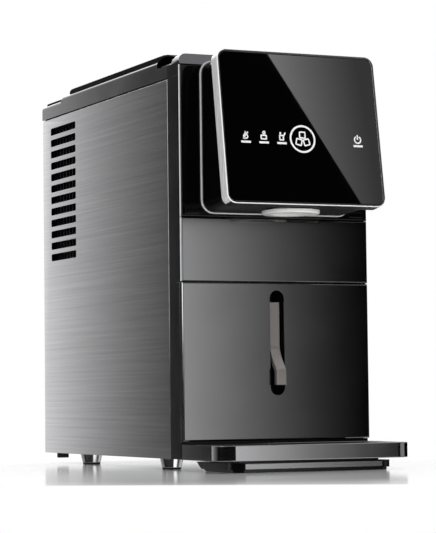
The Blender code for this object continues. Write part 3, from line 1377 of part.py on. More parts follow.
def make_barrel():
    """The insulated freezing barrel, its auger, the extruder head with spout, and the gear motor."""
    top = barrel_z + BARREL_HEIGHT
    barrel = barrel_rod(barrel_z, top, BARREL_RADIUS)
    join(barrel, barrel_rod(barrel_z, barrel_z + BARREL_FLANGE_THICK, BARREL_FLANGE))
    cut(barrel, barrel_rod(barrel_z + BARREL_FLANGE_THICK, top + OVERRUN, BARREL_BORE),
        barrel_rod(barrel_z - OVERRUN, barrel_z + BARREL_FLANGE_THICK + OVERRUN, ICE_SHAFT_RADIUS + RUN,
                   SMALL_SIDES))
    keep(barrel, "freezing_barrel", "insulation")

    start = barrel_z + ICE_AUGER_RAISE
    screw = flight(ICE_SHAFT_RADIUS, ICE_AUGER_RADIUS, FLIGHT_THICK, ICE_AUGER_PITCH, ICE_AUGER_LENGTH)
    screw.data.transform(Matrix.Translation((barrel_x, barrel_y, start)))
    motor_top = rear_shelf_z - SHELF_SHEET - GAP
    shaft_bottom = motor_top - MOTOR_SOCKET
    join(screw, barrel_rod(shaft_bottom, barrel_z + ICE_SHAFT_TOP, ICE_SHAFT_RADIUS, SMALL_SIDES))
    keep(screw, "ice_auger", "stainless", (barrel_x, barrel_y, start))

    cap_bottom = top + GAP
    cap_top = cap_bottom + HEAD_CAP_HEIGHT
    spout_end = bulkhead_front - SPOUT_OVERLAP
    half = SPOUT_WIDTH / 2
    floor_top = cap_bottom + HEAD_CAP_FLOOR
    cap = barrel_rod(cap_bottom, cap_top, BARREL_RADIUS)
    join(cap, box((barrel_x - half, spout_end, cap_bottom), (barrel_x + half, barrel_y, cap_top)))
    cavity_top = cap_top - HEAD_CAP_WALL
    inner_half_spout = half - HEAD_CAP_WALL
    outlets = []
    for index in range(OUTLET_COUNT):
        angle = math.tau * index / OUTLET_COUNT
        x = barrel_x + OUTLET_RING * math.cos(angle)
        y = barrel_y + OUTLET_RING * math.sin(angle)
        outlets.append(bar_z(cap_bottom - OVERRUN, floor_top + OVERRUN, (x, y), OUTLET_RADIUS, 8))
    cut(cap, barrel_rod(floor_top, cavity_top, BARREL_RADIUS - HEAD_CAP_WALL),
        box((barrel_x - inner_half_spout, spout_end - OVERRUN, floor_top),
            (barrel_x + inner_half_spout, barrel_y, cavity_top)),
        barrel_rod(cap_bottom - OVERRUN, floor_top + OVERRUN, ICE_SHAFT_RADIUS + RUN,
                   SMALL_SIDES), *outlets)
    keep(cap, "extruder_head", "white_plastic")

    gearbox_bottom = motor_top - GEARBOX_HEIGHT
    motor = barrel_rod(gearbox_bottom, motor_top, GEARBOX_RADIUS)
    join(motor, barrel_rod(gearbox_bottom - GEAR_MOTOR_HEIGHT, gearbox_bottom + GAP, GEAR_MOTOR_RADIUS))
    cut(motor, barrel_rod(shaft_bottom - RUN, motor_top + OVERRUN, ICE_SHAFT_RADIUS + RUN, SMALL_SIDES))
    keep(motor, "gear_motor", "painted_black")


def tank_corners():
    """Lowest and highest corner of the water tank."""
    low = (tank_left, bulkhead_back + TANK_FRONT_SPACE, rear_shelf_z + GAP)
    high = (half_width - SHEET - TANK_SIDE_SPACE, front + TANK_REAR, rear_shelf_z + GAP + TANK_HEIGHT)
    return low, high


def pump_hole():
    """Where the tank's outlet passes the shelf, over the pump."""
    return tank_corners()[1][0] - PUMP_INSET, front + PUMP_STATION


def hose_hole():
    """Where the water hose passes the shelf, beside the barrel."""
    return barrel_x + BARREL_FLANGE + PIPE_HOLE_RADIUS, barrel_y


def gas_hole():
    """Where the hot gas pipe passes the shelf, beside the fan."""
    x = fan_left() + SHROUD_THICK + FAN_MOTOR_LENGTH + PIPE_HOLE_RADIUS
    return x, back_inside - CONDENSER_REAR - PIPE_HOLE_RADIUS * 2


def return_hole():
    """Where the suction pipe passes the shelf, behind the barrel."""
    return barrel_x, barrel_y + BARREL_FLANGE + PIPE_HOLE_RADIUS


def make_water_side():
    """The open water tank with its float, the pump under it, the hose and the drain plug."""
    low, high = tank_corners()
    tank = box(low, high)
    inner_low = [value + TANK_WALL for value in low]
    cut(tank, box(inner_low, (high[0] - TANK_WALL, high[1] - TANK_WALL, high[2] + OVERRUN)))
    stem_x = tank_left + FLOAT_PLACE
    stem_y = low[1] + FLOAT_PLACE
    stem = bar_z(low[2] + GAP, high[2] - TANK_WALL, (stem_x, stem_y), STEM_RADIUS, SMALL_SIDES)
    outlet_top = low[2] + TANK_WALL
    pump_x, pump_y = pump_hole()
    join(tank, stem)
    cut(tank, bar_z(low[2] - OVERRUN, outlet_top + OVERRUN, (pump_x, pump_y), HOSE_RADIUS, SMALL_SIDES))
    keep(tank, "water_tank", "clear_plastic")
    float_bottom = inner_low[2] + GAP
    ball = bar_z(float_bottom, float_bottom + FLOAT_HEIGHT, (stem_x, stem_y), FLOAT_RADIUS)
    cut(ball, bar_z(float_bottom - OVERRUN, float_bottom + FLOAT_HEIGHT + OVERRUN, (stem_x, stem_y),
                    STEM_RADIUS + RUN, SMALL_SIDES))
    keep(ball, "tank_float", "white_plastic", (stem_x, stem_y, float_bottom))

    pump_top = rear_shelf_z - SHELF_SHEET - GAP
    pump_bottom = pump_top - PUMP_HEIGHT
    pump = bar_z(pump_bottom, pump_top, (pump_x, pump_y), PUMP_RADIUS)
    flange = bar_z(pump_top - PUMP_FLANGE_THICK, pump_top, (pump_x, pump_y), PUMP_FLANGE)
    join(pump, flange)
    keep(pump, "water_pump", "painted_black")

    hose_x, hose_y = hose_hole()
    outlet = (pump_x - PUMP_RADIUS - RUN, pump_y, pump_bottom + HOSE_RADIUS * 2)
    entry_z = barrel_z + BARREL_FLANGE_THICK + HOSE_RADIUS * 3
    knots = [outlet, (outlet[0] - HOSE_RADIUS * 3, pump_y, outlet[2]),
             (hose_x, hose_y, rear_shelf_z - HOSE_RADIUS * 4), (hose_x, hose_y, rear_shelf_z),
             (hose_x, hose_y, entry_z - HOSE_RADIUS), (hose_x - HOSE_RADIUS, hose_y, entry_z),
             (barrel_x + BARREL_RADIUS + RUN, barrel_y, entry_z)]
    keep(pipe(smooth_route(knots, 3), HOSE_RADIUS, 2), "water_hose", "clear_plastic")

    drain = Vector((DRAIN_INSET - half_width, rear - DRAIN_SPACE, base - GAP))
    cap = rod(drain - Vector((0, 0, DRAIN_CAP_HEIGHT)), drain, DRAIN_CAP_RADIUS)
    join(cap, rod(drain - Vector((0, 0, GAP)), drain + Vector((0, 0, DRAIN_STEM_LENGTH)),
                  DRAIN_STEM_RADIUS, SMALL_SIDES))
    keep(cap, "drain_plug", "rubber", drain)


def compressor_profile(bottom, top):
    """Half section of the compressor's can in (radius, z)."""
    dome_start = top - COMPRESSOR_DOME
    points = [(0, bottom), (COMPRESSOR_RADIUS - COMPRESSOR_ROUND, bottom),
              (COMPRESSOR_RADIUS, bottom + COMPRESSOR_ROUND)]
    points += [(COMPRESSOR_RADIUS * out, dome_start + COMPRESSOR_DOME * up) for out, up in DOME_SHARES]
    return points + [(0, top)]


def make_compressor():
    """The compressor on its rubber pad, with its pipes to the condenser and from the barrel."""
    x = half_width - COMPRESSOR_INSET
    y = rear - COMPRESSOR_SPACE
    half = COMPRESSOR_PLATE / 2
    pad_bottom = pan_top + GAP
    pad = box((x - half, y - half, pad_bottom), (x + half, y + half, pad_bottom + PAD_RUBBER))
    keep(pad, "compressor_pad", "rubber")
    bottom = pad_bottom + PAD_RUBBER + GAP
    plate = box((x - half, y - half, bottom), (x + half, y + half, bottom + COMPRESSOR_PLATE_THICK))
    can_top = bottom + COMPRESSOR_HEIGHT
    can = turned(compressor_profile(bottom + COMPRESSOR_PLATE_THICK / 2, can_top), (x, y, 0))
    box_low = (x - TERMINAL_BOX / 2, y - COMPRESSOR_RADIUS - TERMINAL_BOX / 3, bottom + TERMINAL_BOX)
    terminal = box(box_low, (x + TERMINAL_BOX / 2, y, bottom + TERMINAL_BOX * 2.5))
    join(can, plate, terminal)
    keep(can, "compressor", "painted_black")

    gas_x, gas_y = gas_hole()
    condenser_top = rear_shelf_z + GAP + CONDENSER_HEIGHT
    reach = PIPE_RADIUS * 4
    over = condenser_top + PIPE_RADIUS * 3
    knots = [(x, y, can_top + RUN), (x, y, can_top + reach), (gas_x, gas_y, rear_shelf_z - reach * 2),
             (gas_x, gas_y, rear_shelf_z), (gas_x, gas_y, over - reach * 2),
             (gas_x - reach, gas_y, over), (condenser_right() + reach, gas_y, over),
             (condenser_right() - reach, gas_y, over - PIPE_RADIUS),
             (condenser_right() - reach, gas_y, condenser_top + RUN)]
    keep(pipe(smooth_route(knots, 3), PIPE_RADIUS, 1), "hot_gas_pipe", "copper")
    back_x, back_y = return_hole()
    entry_z = barrel_z + BARREL_HEIGHT / 2
    exit_z = can_top - COMPRESSOR_DOME - reach
    knots = [(x - COMPRESSOR_RADIUS - RUN, y, exit_z), (x - COMPRESSOR_RADIUS - reach, y, exit_z),
             (back_x, back_y, rear_shelf_z - reach * 2), (back_x, back_y, rear_shelf_z),
             (back_x, back_y, entry_z - reach), (back_x, back_y - PIPE_RADIUS, entry_z),
             (back_x, barrel_y + BARREL_RADIUS + RUN, entry_z)]
    keep(pipe(smooth_route(knots, 3), PIPE_RADIUS, 1), "suction_pipe", "copper")


def condenser_right():
    """The condenser's inner side."""
    return -half_width + SHEET + CONDENSER_SPACE + CONDENSER_THICK


def fan_left():
    """The fan shroud's side that faces the condenser."""
    return condenser_right() + GAP


def make_condenser():
    """The finned condenser behind the left vents: upright fins on flat tubes."""
    left = condenser_right() - CONDENSER_THICK
    right = condenser_right()
    start = back_inside - CONDENSER_REAR - CONDENSER_DEPTH
    bottom = rear_shelf_z + GAP
    pitch = (CONDENSER_DEPTH - FIN_THICK) / (FIN_COUNT - 1)
    fins = [box((left, start + index * pitch, bottom),
                (right, start + index * pitch + FIN_THICK, bottom + CONDENSER_HEIGHT))
            for index in range(FIN_COUNT)]
    spread = CONDENSER_HEIGHT / FLAT_TUBE_COUNT
    tubes = []
    for index in range(FLAT_TUBE_COUNT):
        z = bottom + spread * (index + CORE_SHARE)
        tubes.append(box((left + FLAT_TUBE, start + FIN_THICK / 2, z),
                         (right - FLAT_TUBE, start + CONDENSER_DEPTH - FIN_THICK / 2, z + FLAT_TUBE)))
    core = join(fins[0], *tubes)
    keep(join(core, *fins[1:]), "condenser", "aluminium")


def blade(middle_x, angle):
    """A fan blade about the X axis, tilted to push air, starting inside the hub."""
    root = FAN_HUB_RADIUS * CORE_SHARE
    chord = FAN_HUB_RADIUS * BLADE_SWEEP_SHARE
    twist = math.radians(BLADE_TWIST_DEGREES)
    bm = bmesh.new()
    place = (Matrix.Rotation(angle, 4, "X") @ Matrix.Translation((middle_x, 0, (root + fan_radius) / 2))
             @ Matrix.Rotation(twist, 4, "Z")
             @ Matrix.Diagonal((FAN_BLADE_THICK, chord * 2, fan_radius - root, 1)))
    bmesh.ops.create_cube(bm, size=1, matrix=place)
    return object_from(bm)


def make_fan():
    """The fan: shroud with a spider, motor on the spider's hub, and the rotor in the bore."""
    left = fan_left()
    right = left + SHROUD_THICK
    start = back_inside - CONDENSER_REAR - CONDENSER_DEPTH
    bottom = rear_shelf_z + GAP
    y = start + CONDENSER_DEPTH / 2
    z = bottom + CONDENSER_HEIGHT / 2
    shroud = box((left, start, bottom), (right, start + CONDENSER_DEPTH, bottom + CONDENSER_HEIGHT))
    cut(shroud, bar_x(left - OVERRUN, right + OVERRUN, (y, z), shroud_bore, ROUND_SIDES + 8))
    reach = shroud_bore + SPIDER_ARM / 2
    web = right - SPIDER_THICK
    level = box((web, y - reach, z - SPIDER_ARM / 2), (right, y + reach, z + SPIDER_ARM / 2))
    upright = box((web, y - SPIDER_ARM / 2, z - reach), (right, y + SPIDER_ARM / 2, z + reach))
    hub = bar_x(web, right, (y, z), FAN_MOTOR_RADIUS)
    join(shroud, level, upright, hub)
    shaft_hole = bar_x(web - OVERRUN, right + OVERRUN, (y, z), FAN_SHAFT_RADIUS + RUN, SMALL_SIDES)
    cut(shroud, shaft_hole)
    keep(shroud, "fan_shroud", "black_plastic")

    motor_start = right + GAP
    shaft_end = motor_start + FAN_MOTOR_LENGTH / 2
    motor = bar_x(motor_start, motor_start + FAN_MOTOR_LENGTH, (y, z), FAN_MOTOR_RADIUS)
    cut(motor, bar_x(motor_start - OVERRUN, shaft_end + RUN, (y, z), FAN_SHAFT_RADIUS + RUN, SMALL_SIDES))
    keep(motor, "fan_motor", "painted_black")

    hub_end = web - RUN
    hub_start = hub_end - FAN_THICK
    rotor = bar_x(hub_start, hub_end, (0, 0), FAN_HUB_RADIUS)
    middle = (hub_start + hub_end) / 2
    blades = [blade(middle, math.tau * index / FAN_BLADE_COUNT) for index in range(FAN_BLADE_COUNT)]
    shaft = bar_x(middle, shaft_end, (0, 0), FAN_SHAFT_RADIUS, SMALL_SIDES)
    join(rotor, shaft, *blades)
    rotor.data.transform(Matrix.Translation((0, y, z)))
    keep(rotor, "fan_rotor", "black_plastic", (middle, y, z))


def make_power():
    """The power board on the bulkhead and the inlet in the back."""
    back = bulkhead_front - GAP
    board_back = back - STANDOFF
    board_front = board_back - BOARD_THICK
    right = inner_half - POWER_BOARD_INSET
    left = right - POWER_BOARD_WIDTH
    bottom = base + POWER_BOARD_RAISE
    top = bottom + POWER_BOARD_HEIGHT
    board = box((left, board_front, bottom), (right, board_back, top))
    inset = STANDOFF_RADIUS * 2
    posts = [bar_y(board_back - GAP, back, (x, z), STANDOFF_RADIUS, 8)
             for x in (left + inset, right - inset) for z in (bottom + inset, top - inset)]
    lift = bottom + inset * 2
    coil = box((left + inset * 2, board_front - PART_TALL, lift),
               (left + inset * 2 + PART_TALL, board_front + GAP, lift + PART_TALL))
    relay = box((left + inset * 2, board_front - PART_LOW, lift + PART_TALL * 2),
                (left + inset * 2 + PART_TALL, board_front + GAP, lift + PART_TALL * 2 + PART_LOW))
    can_x = right - inset * 3
    capacitors = [bar_y(board_front + GAP, board_front - PART_TALL, (can_x, z), PART_LOW / 2, SMALL_SIDES)
                  for z in (lift + PART_LOW, lift + PART_LOW * 3)]
    join(board, coil, relay, *posts, *capacitors)
    keep(board, "power_board", "board_green")

    low = (inlet_x - INLET_WIDTH / 2, base + INLET_RAISE)
    high = (inlet_x + INLET_WIDTH / 2, base + INLET_RAISE + INLET_HEIGHT)
    outside = back_inside + BACK_SHEET + GAP
    inside = rear - INLET_DEPTH
    inlet = box((low[0], inside, low[1]), (high[0], rear, high[1]))
    flange = box((low[0] - INLET_FLANGE, outside, low[1] - INLET_FLANGE),
                 (high[0] + INLET_FLANGE, rear, high[1] + INLET_FLANGE))
    join(inlet, flange)
    cavity_end = inside + INLET_WALL
    cut(inlet, box((low[0] + INLET_WALL, cavity_end, low[1] + INLET_WALL),
                   (high[0] - INLET_WALL, rear + OVERRUN, high[1] - INLET_WALL)))
    middle = (low[1] + high[1]) / 2
    pins = [box((inlet_x + step * INLET_PIN_SPACE - INLET_PIN_WIDTH / 2, cavity_end - GAP,
                 middle - INLET_PIN_HEIGHT / 2),
                (inlet_x + step * INLET_PIN_SPACE + INLET_PIN_WIDTH / 2, cavity_end + INLET_PIN_LENGTH,
                 middle + INLET_PIN_HEIGHT / 2)) for step in (-1, 0, 1)]
    join(inlet, *pins)
    keep(inlet, "power_inlet", "black_plastic")


def main():
    """Build the machine from the outside in."""
    clear_scene()
    make_side_panel("side_panel_left", -1)
    make_side_panel("side_panel_right", 1)
    make_base_pan()
    make_back_panel()
    make_front_frame()
    make_upper_panel()
    make_middle_panel()
    make_lower_cover()
    make_top_cover()
    make_lid()
    make_neck()
    make_head()
    make_nozzle()
    make_gate()
    make_lever()
    make_channel()
    make_tray()
    make_tray_base()
    make_feet()
    make_inner_frame()
    make_bin()
    make_barrel()
    make_water_side()
    make_compressor()
    make_condenser()
    make_fan()
    make_power()


main()
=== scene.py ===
"""Looks of a countertop nugget ice maker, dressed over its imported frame.

Every sub-assembly is a class that holds its sizes, builds its meshes and dresses them. Lengths are metres
and +Z is up. The machine's front faces -Y, and the camera stands low down, to the front left of it.
"""
from __future__ import annotations

import json
import logging
import math
from dataclasses import dataclass, field
from enum import Enum
from typing import Any, Callable, Iterable, Sequence

import bmesh
import bpy
from mathutils import Matrix, Vector

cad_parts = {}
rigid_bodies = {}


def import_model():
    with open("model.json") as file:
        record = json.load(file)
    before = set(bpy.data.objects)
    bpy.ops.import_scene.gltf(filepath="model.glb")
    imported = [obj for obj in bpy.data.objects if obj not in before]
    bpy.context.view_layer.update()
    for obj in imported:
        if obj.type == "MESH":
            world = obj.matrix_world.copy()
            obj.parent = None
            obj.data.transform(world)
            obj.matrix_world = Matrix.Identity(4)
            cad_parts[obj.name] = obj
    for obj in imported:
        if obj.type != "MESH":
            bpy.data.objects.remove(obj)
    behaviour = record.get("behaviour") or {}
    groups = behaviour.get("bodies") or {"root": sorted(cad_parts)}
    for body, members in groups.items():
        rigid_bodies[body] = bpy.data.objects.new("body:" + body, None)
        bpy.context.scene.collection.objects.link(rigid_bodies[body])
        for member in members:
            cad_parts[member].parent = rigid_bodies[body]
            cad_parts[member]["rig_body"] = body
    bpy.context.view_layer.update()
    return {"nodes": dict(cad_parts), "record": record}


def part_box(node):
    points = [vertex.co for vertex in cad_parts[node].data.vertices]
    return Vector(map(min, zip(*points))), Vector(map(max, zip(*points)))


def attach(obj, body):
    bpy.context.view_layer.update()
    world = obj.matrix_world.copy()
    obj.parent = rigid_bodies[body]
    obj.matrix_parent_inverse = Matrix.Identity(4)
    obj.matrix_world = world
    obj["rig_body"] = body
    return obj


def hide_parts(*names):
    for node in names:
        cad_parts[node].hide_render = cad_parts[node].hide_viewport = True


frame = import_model()
MM = 0.001
MERGE = 0.01 * MM
LOG = logging.getLogger("ice_maker")
NODE_SLOTS = {part["node"]: part["material_slot"] for part in frame["record"]["subparts"]}
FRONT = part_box("middle_front_panel")[0].y
WHITE = (1.0, 1.0, 1.0, 1.0)
# Shares of a face's normal along an axis: past the first it slants that way, past the second it faces it
SLANTED = 0.3
SQUARE = 0.95
# Edges that turn more than this are shaded sharp, and edges that turn more than the next are rounded
SHARP_TURN = math.radians(38)
ROUNDED_TURN = math.radians(40)
# Faces that meet at less than this are one flat face, and faces that meet at more than the next a corner
FLAT_TURN = math.radians(0.5)
CORNER_TURN = 1.0
# A full noise keeps nearly all its values between these
NOISE_LOW = 0.3
NOISE_HIGH = 0.7


def linear(hex_colour: str) -> tuple[float, float, float, float]:
    """Turn an sRGB hex colour into linear values.

    Args:
        hex_colour: Six hex digits after a hash sign.

    Returns:
        Linear red, green, blue and an alpha of one.
    """
    values = [int(hex_colour[index:index + 2], 16) / 255 for index in (1, 3, 5)]
    red, green, blue = (v / 12.92 if v <= 0.04045 else ((v + 0.055) / 1.055) ** 2.4 for v in values)
    return red, green, blue, 1.0


def add_node(tree: bpy.types.NodeTree, kind: str, values: dict[Any, Any] | None = None,
             links: dict[Any, bpy.types.NodeSocket] | None = None, **settings: Any) -> bpy.types.Node:
    """Add a node with its settings, socket values and incoming links.

    Args:
        tree: The node tree that gets the node.
        kind: The node's type name.
        values: Default values by input name or number.
        links: Output sockets that feed the inputs, by input name or number.
        **settings: Attributes of the node itself.

    Returns:
        The new node.
    """
    node = tree.nodes.new(kind)
    for key, value in settings.items():
        setattr(node, key, value)
    for key, value in (values or {}).items():
        node.inputs[key].default_value = value
    for key, socket in (links or {}).items():
        tree.links.new(socket, node.inputs[key])
    return node


class Pattern(Enum):
    """How a surface was made, which gives it its fine relief."""

    POLISHED = "polished"
    MOULDED = "moulded"
    BRUSHED = "brushed"
    ROLLED = "rolled"
    FOAMED = "foamed"


# Steps of ever finer noise in the fine relief and in the slow change of tone
FINE_DETAIL = {Pattern.POLISHED: 2.0, Pattern.MOULDED: 2.0, Pattern.BRUSHED: 3.0, Pattern.FOAMED: 4.0}
SLOW_DETAIL = 2.0
SLOW_BRUSHED_DETAIL = 4.0


@dataclass(frozen=True)
class Finish:
    """A surface finish: what it is made of and how its surface was made.

    Attributes:
        name: The material's common name and process.
        colour: sRGB hex colour.
        pattern: How the surface was made.
        roughness: Middle roughness.
        metallic: Share of metal.
        ior: Refractive index; a metal keeps the default.
        transmission: Share of light that passes through.
        specular: Strength of the reflection of a plastic.
        grain: Period of the fine pattern along X, Y and Z in millimetres.
        relief: Height of the fine pattern in millimetres.
        cloud: Size of the slow changes of tone in millimetres.
        tone_spread: How far the colour wanders, as a share of it.
        roughness_spread: How far the roughness wanders.
        anisotropy: Stretch of the highlights.
        stretch: Direction in which highlights stretch.
        finest: Lowest roughness that the tone may reach.
        slow_times: How much longer a brushed surface's slow pattern is than its lines.
    """

    name: str
    colour: str
    pattern: Pattern
    roughness: float
    metallic: float = 0.0
    ior: float = 1.5
    transmission: float = 0.0
    specular: float = 0.5
    grain: tuple[float, float, float] = (0.9, 0.9, 0.9)
    relief: float = 0.01
    cloud: float = 45.0
    tone_spread: float = 0.06
    roughness_spread: float = 0.04
    anisotropy: float = 0.0
    stretch: tuple[float, float, float] = (0.0, 0.0, 1.0)
    finest: float = 0.01
    slow_times: float = 3.0

    def material(self) -> bpy.types.Material:
        """Return this finish's material, made once."""
        found = bpy.data.materials.get(self.name)
        return found if found is not None else self._build()

    def _build(self) -> bpy.types.Material:
        """Make the material's nodes.

        Returns:
            The new material.
        """
        material = bpy.data.materials.new(self.name)
        material.use_nodes = True
        tree = material.node_tree
        shader = tree.nodes["Principled BSDF"]
        settings = {"Metallic": self.metallic, "IOR": self.ior, "Transmission Weight": self.transmission,
                    "Specular IOR Level": self.specular, "Anisotropic": self.anisotropy}
        for key, value in settings.items():
            shader.inputs[key].default_value = value
        place = add_node(tree, "ShaderNodeTexCoord").outputs["Object"]
        fine = self._fine(tree, place)
        slow = self._slow(tree, place)
        tone = add_node(tree, "ShaderNodeMapRange",
                        {"From Min": NOISE_LOW, "From Max": NOISE_HIGH,
                         "To Min": 1 - self.tone_spread, "To Max": 1 + self.tone_spread},
                        {"Value": slow}, clamp=False)
        colour = add_node(tree, "ShaderNodeVectorMath", {0: linear(self.colour)[:3]},
                          {"Scale": tone.outputs["Result"]}, operation="SCALE")
        tree.links.new(colour.outputs["Vector"], shader.inputs["Base Color"])
        rough = add_node(tree, "ShaderNodeMapRange",
                         {"From Min": NOISE_LOW, "From Max": NOISE_HIGH,
                          "To Min": max(self.finest, self.roughness - self.roughness_spread),
                          "To Max": self.roughness + self.roughness_spread},
                         {"Value": fine if self.pattern is Pattern.BRUSHED else slow})
        tree.links.new(rough.outputs["Result"], shader.inputs["Roughness"])
        bump = add_node(tree, "ShaderNodeBump", {"Strength": 1.0, "Distance": self.relief * MM},
                        {"Height": fine})
        tree.links.new(bump.outputs["Normal"], shader.inputs["Normal"])
        if self.anisotropy:
            along = add_node(tree, "ShaderNodeCombineXYZ", dict(enumerate(self.stretch)))
            tree.links.new(along.outputs["Vector"], shader.inputs["Tangent"])
        return material

    def _fine(self, tree: bpy.types.NodeTree, place: bpy.types.NodeSocket) -> bpy.types.NodeSocket:
        """Add the fine pattern that this way of making leaves.

        Args:
            tree: The material's nodes.
            place: Object coordinates.

        Returns:
            The pattern's height, from 0 to 1.
        """
        scale = [1 / (period * MM) for period in self.grain]
        fitted = add_node(tree, "ShaderNodeMapping", {"Scale": scale}, {"Vector": place}).outputs["Vector"]
        if self.pattern is Pattern.ROLLED:
            cells = add_node(tree, "ShaderNodeTexVoronoi", {"Scale": 1.0, "Randomness": 1.0},
                             {"Vector": fitted})
            return cells.outputs["Distance"]
        noise = add_node(tree, "ShaderNodeTexNoise", {"Scale": 1.0, "Detail": FINE_DETAIL[self.pattern]},
                         {"Vector": fitted})
        return noise.outputs["Fac"]

    def _slow(self, tree: bpy.types.NodeTree, place: bpy.types.NodeSocket) -> bpy.types.NodeSocket:
        """Add the slow change of tone over a surface.

        Args:
            tree: The material's nodes.
            place: Object coordinates.

        Returns:
            The change, from 0 to 1.
        """
        if self.pattern is Pattern.BRUSHED:
            scale = [1 / (period * MM * self.slow_times) for period in self.grain]
            place = add_node(tree, "ShaderNodeMapping", {"Scale": scale}, {"Vector": place}).outputs["Vector"]
            size, detail = 1.0, SLOW_BRUSHED_DETAIL
        else:
            size, detail = 1 / (self.cloud * MM), SLOW_DETAIL
        noise = add_node(tree, "ShaderNodeTexNoise", {"Scale": size, "Detail": detail}, {"Vector": place})
        return noise.outputs["Fac"]


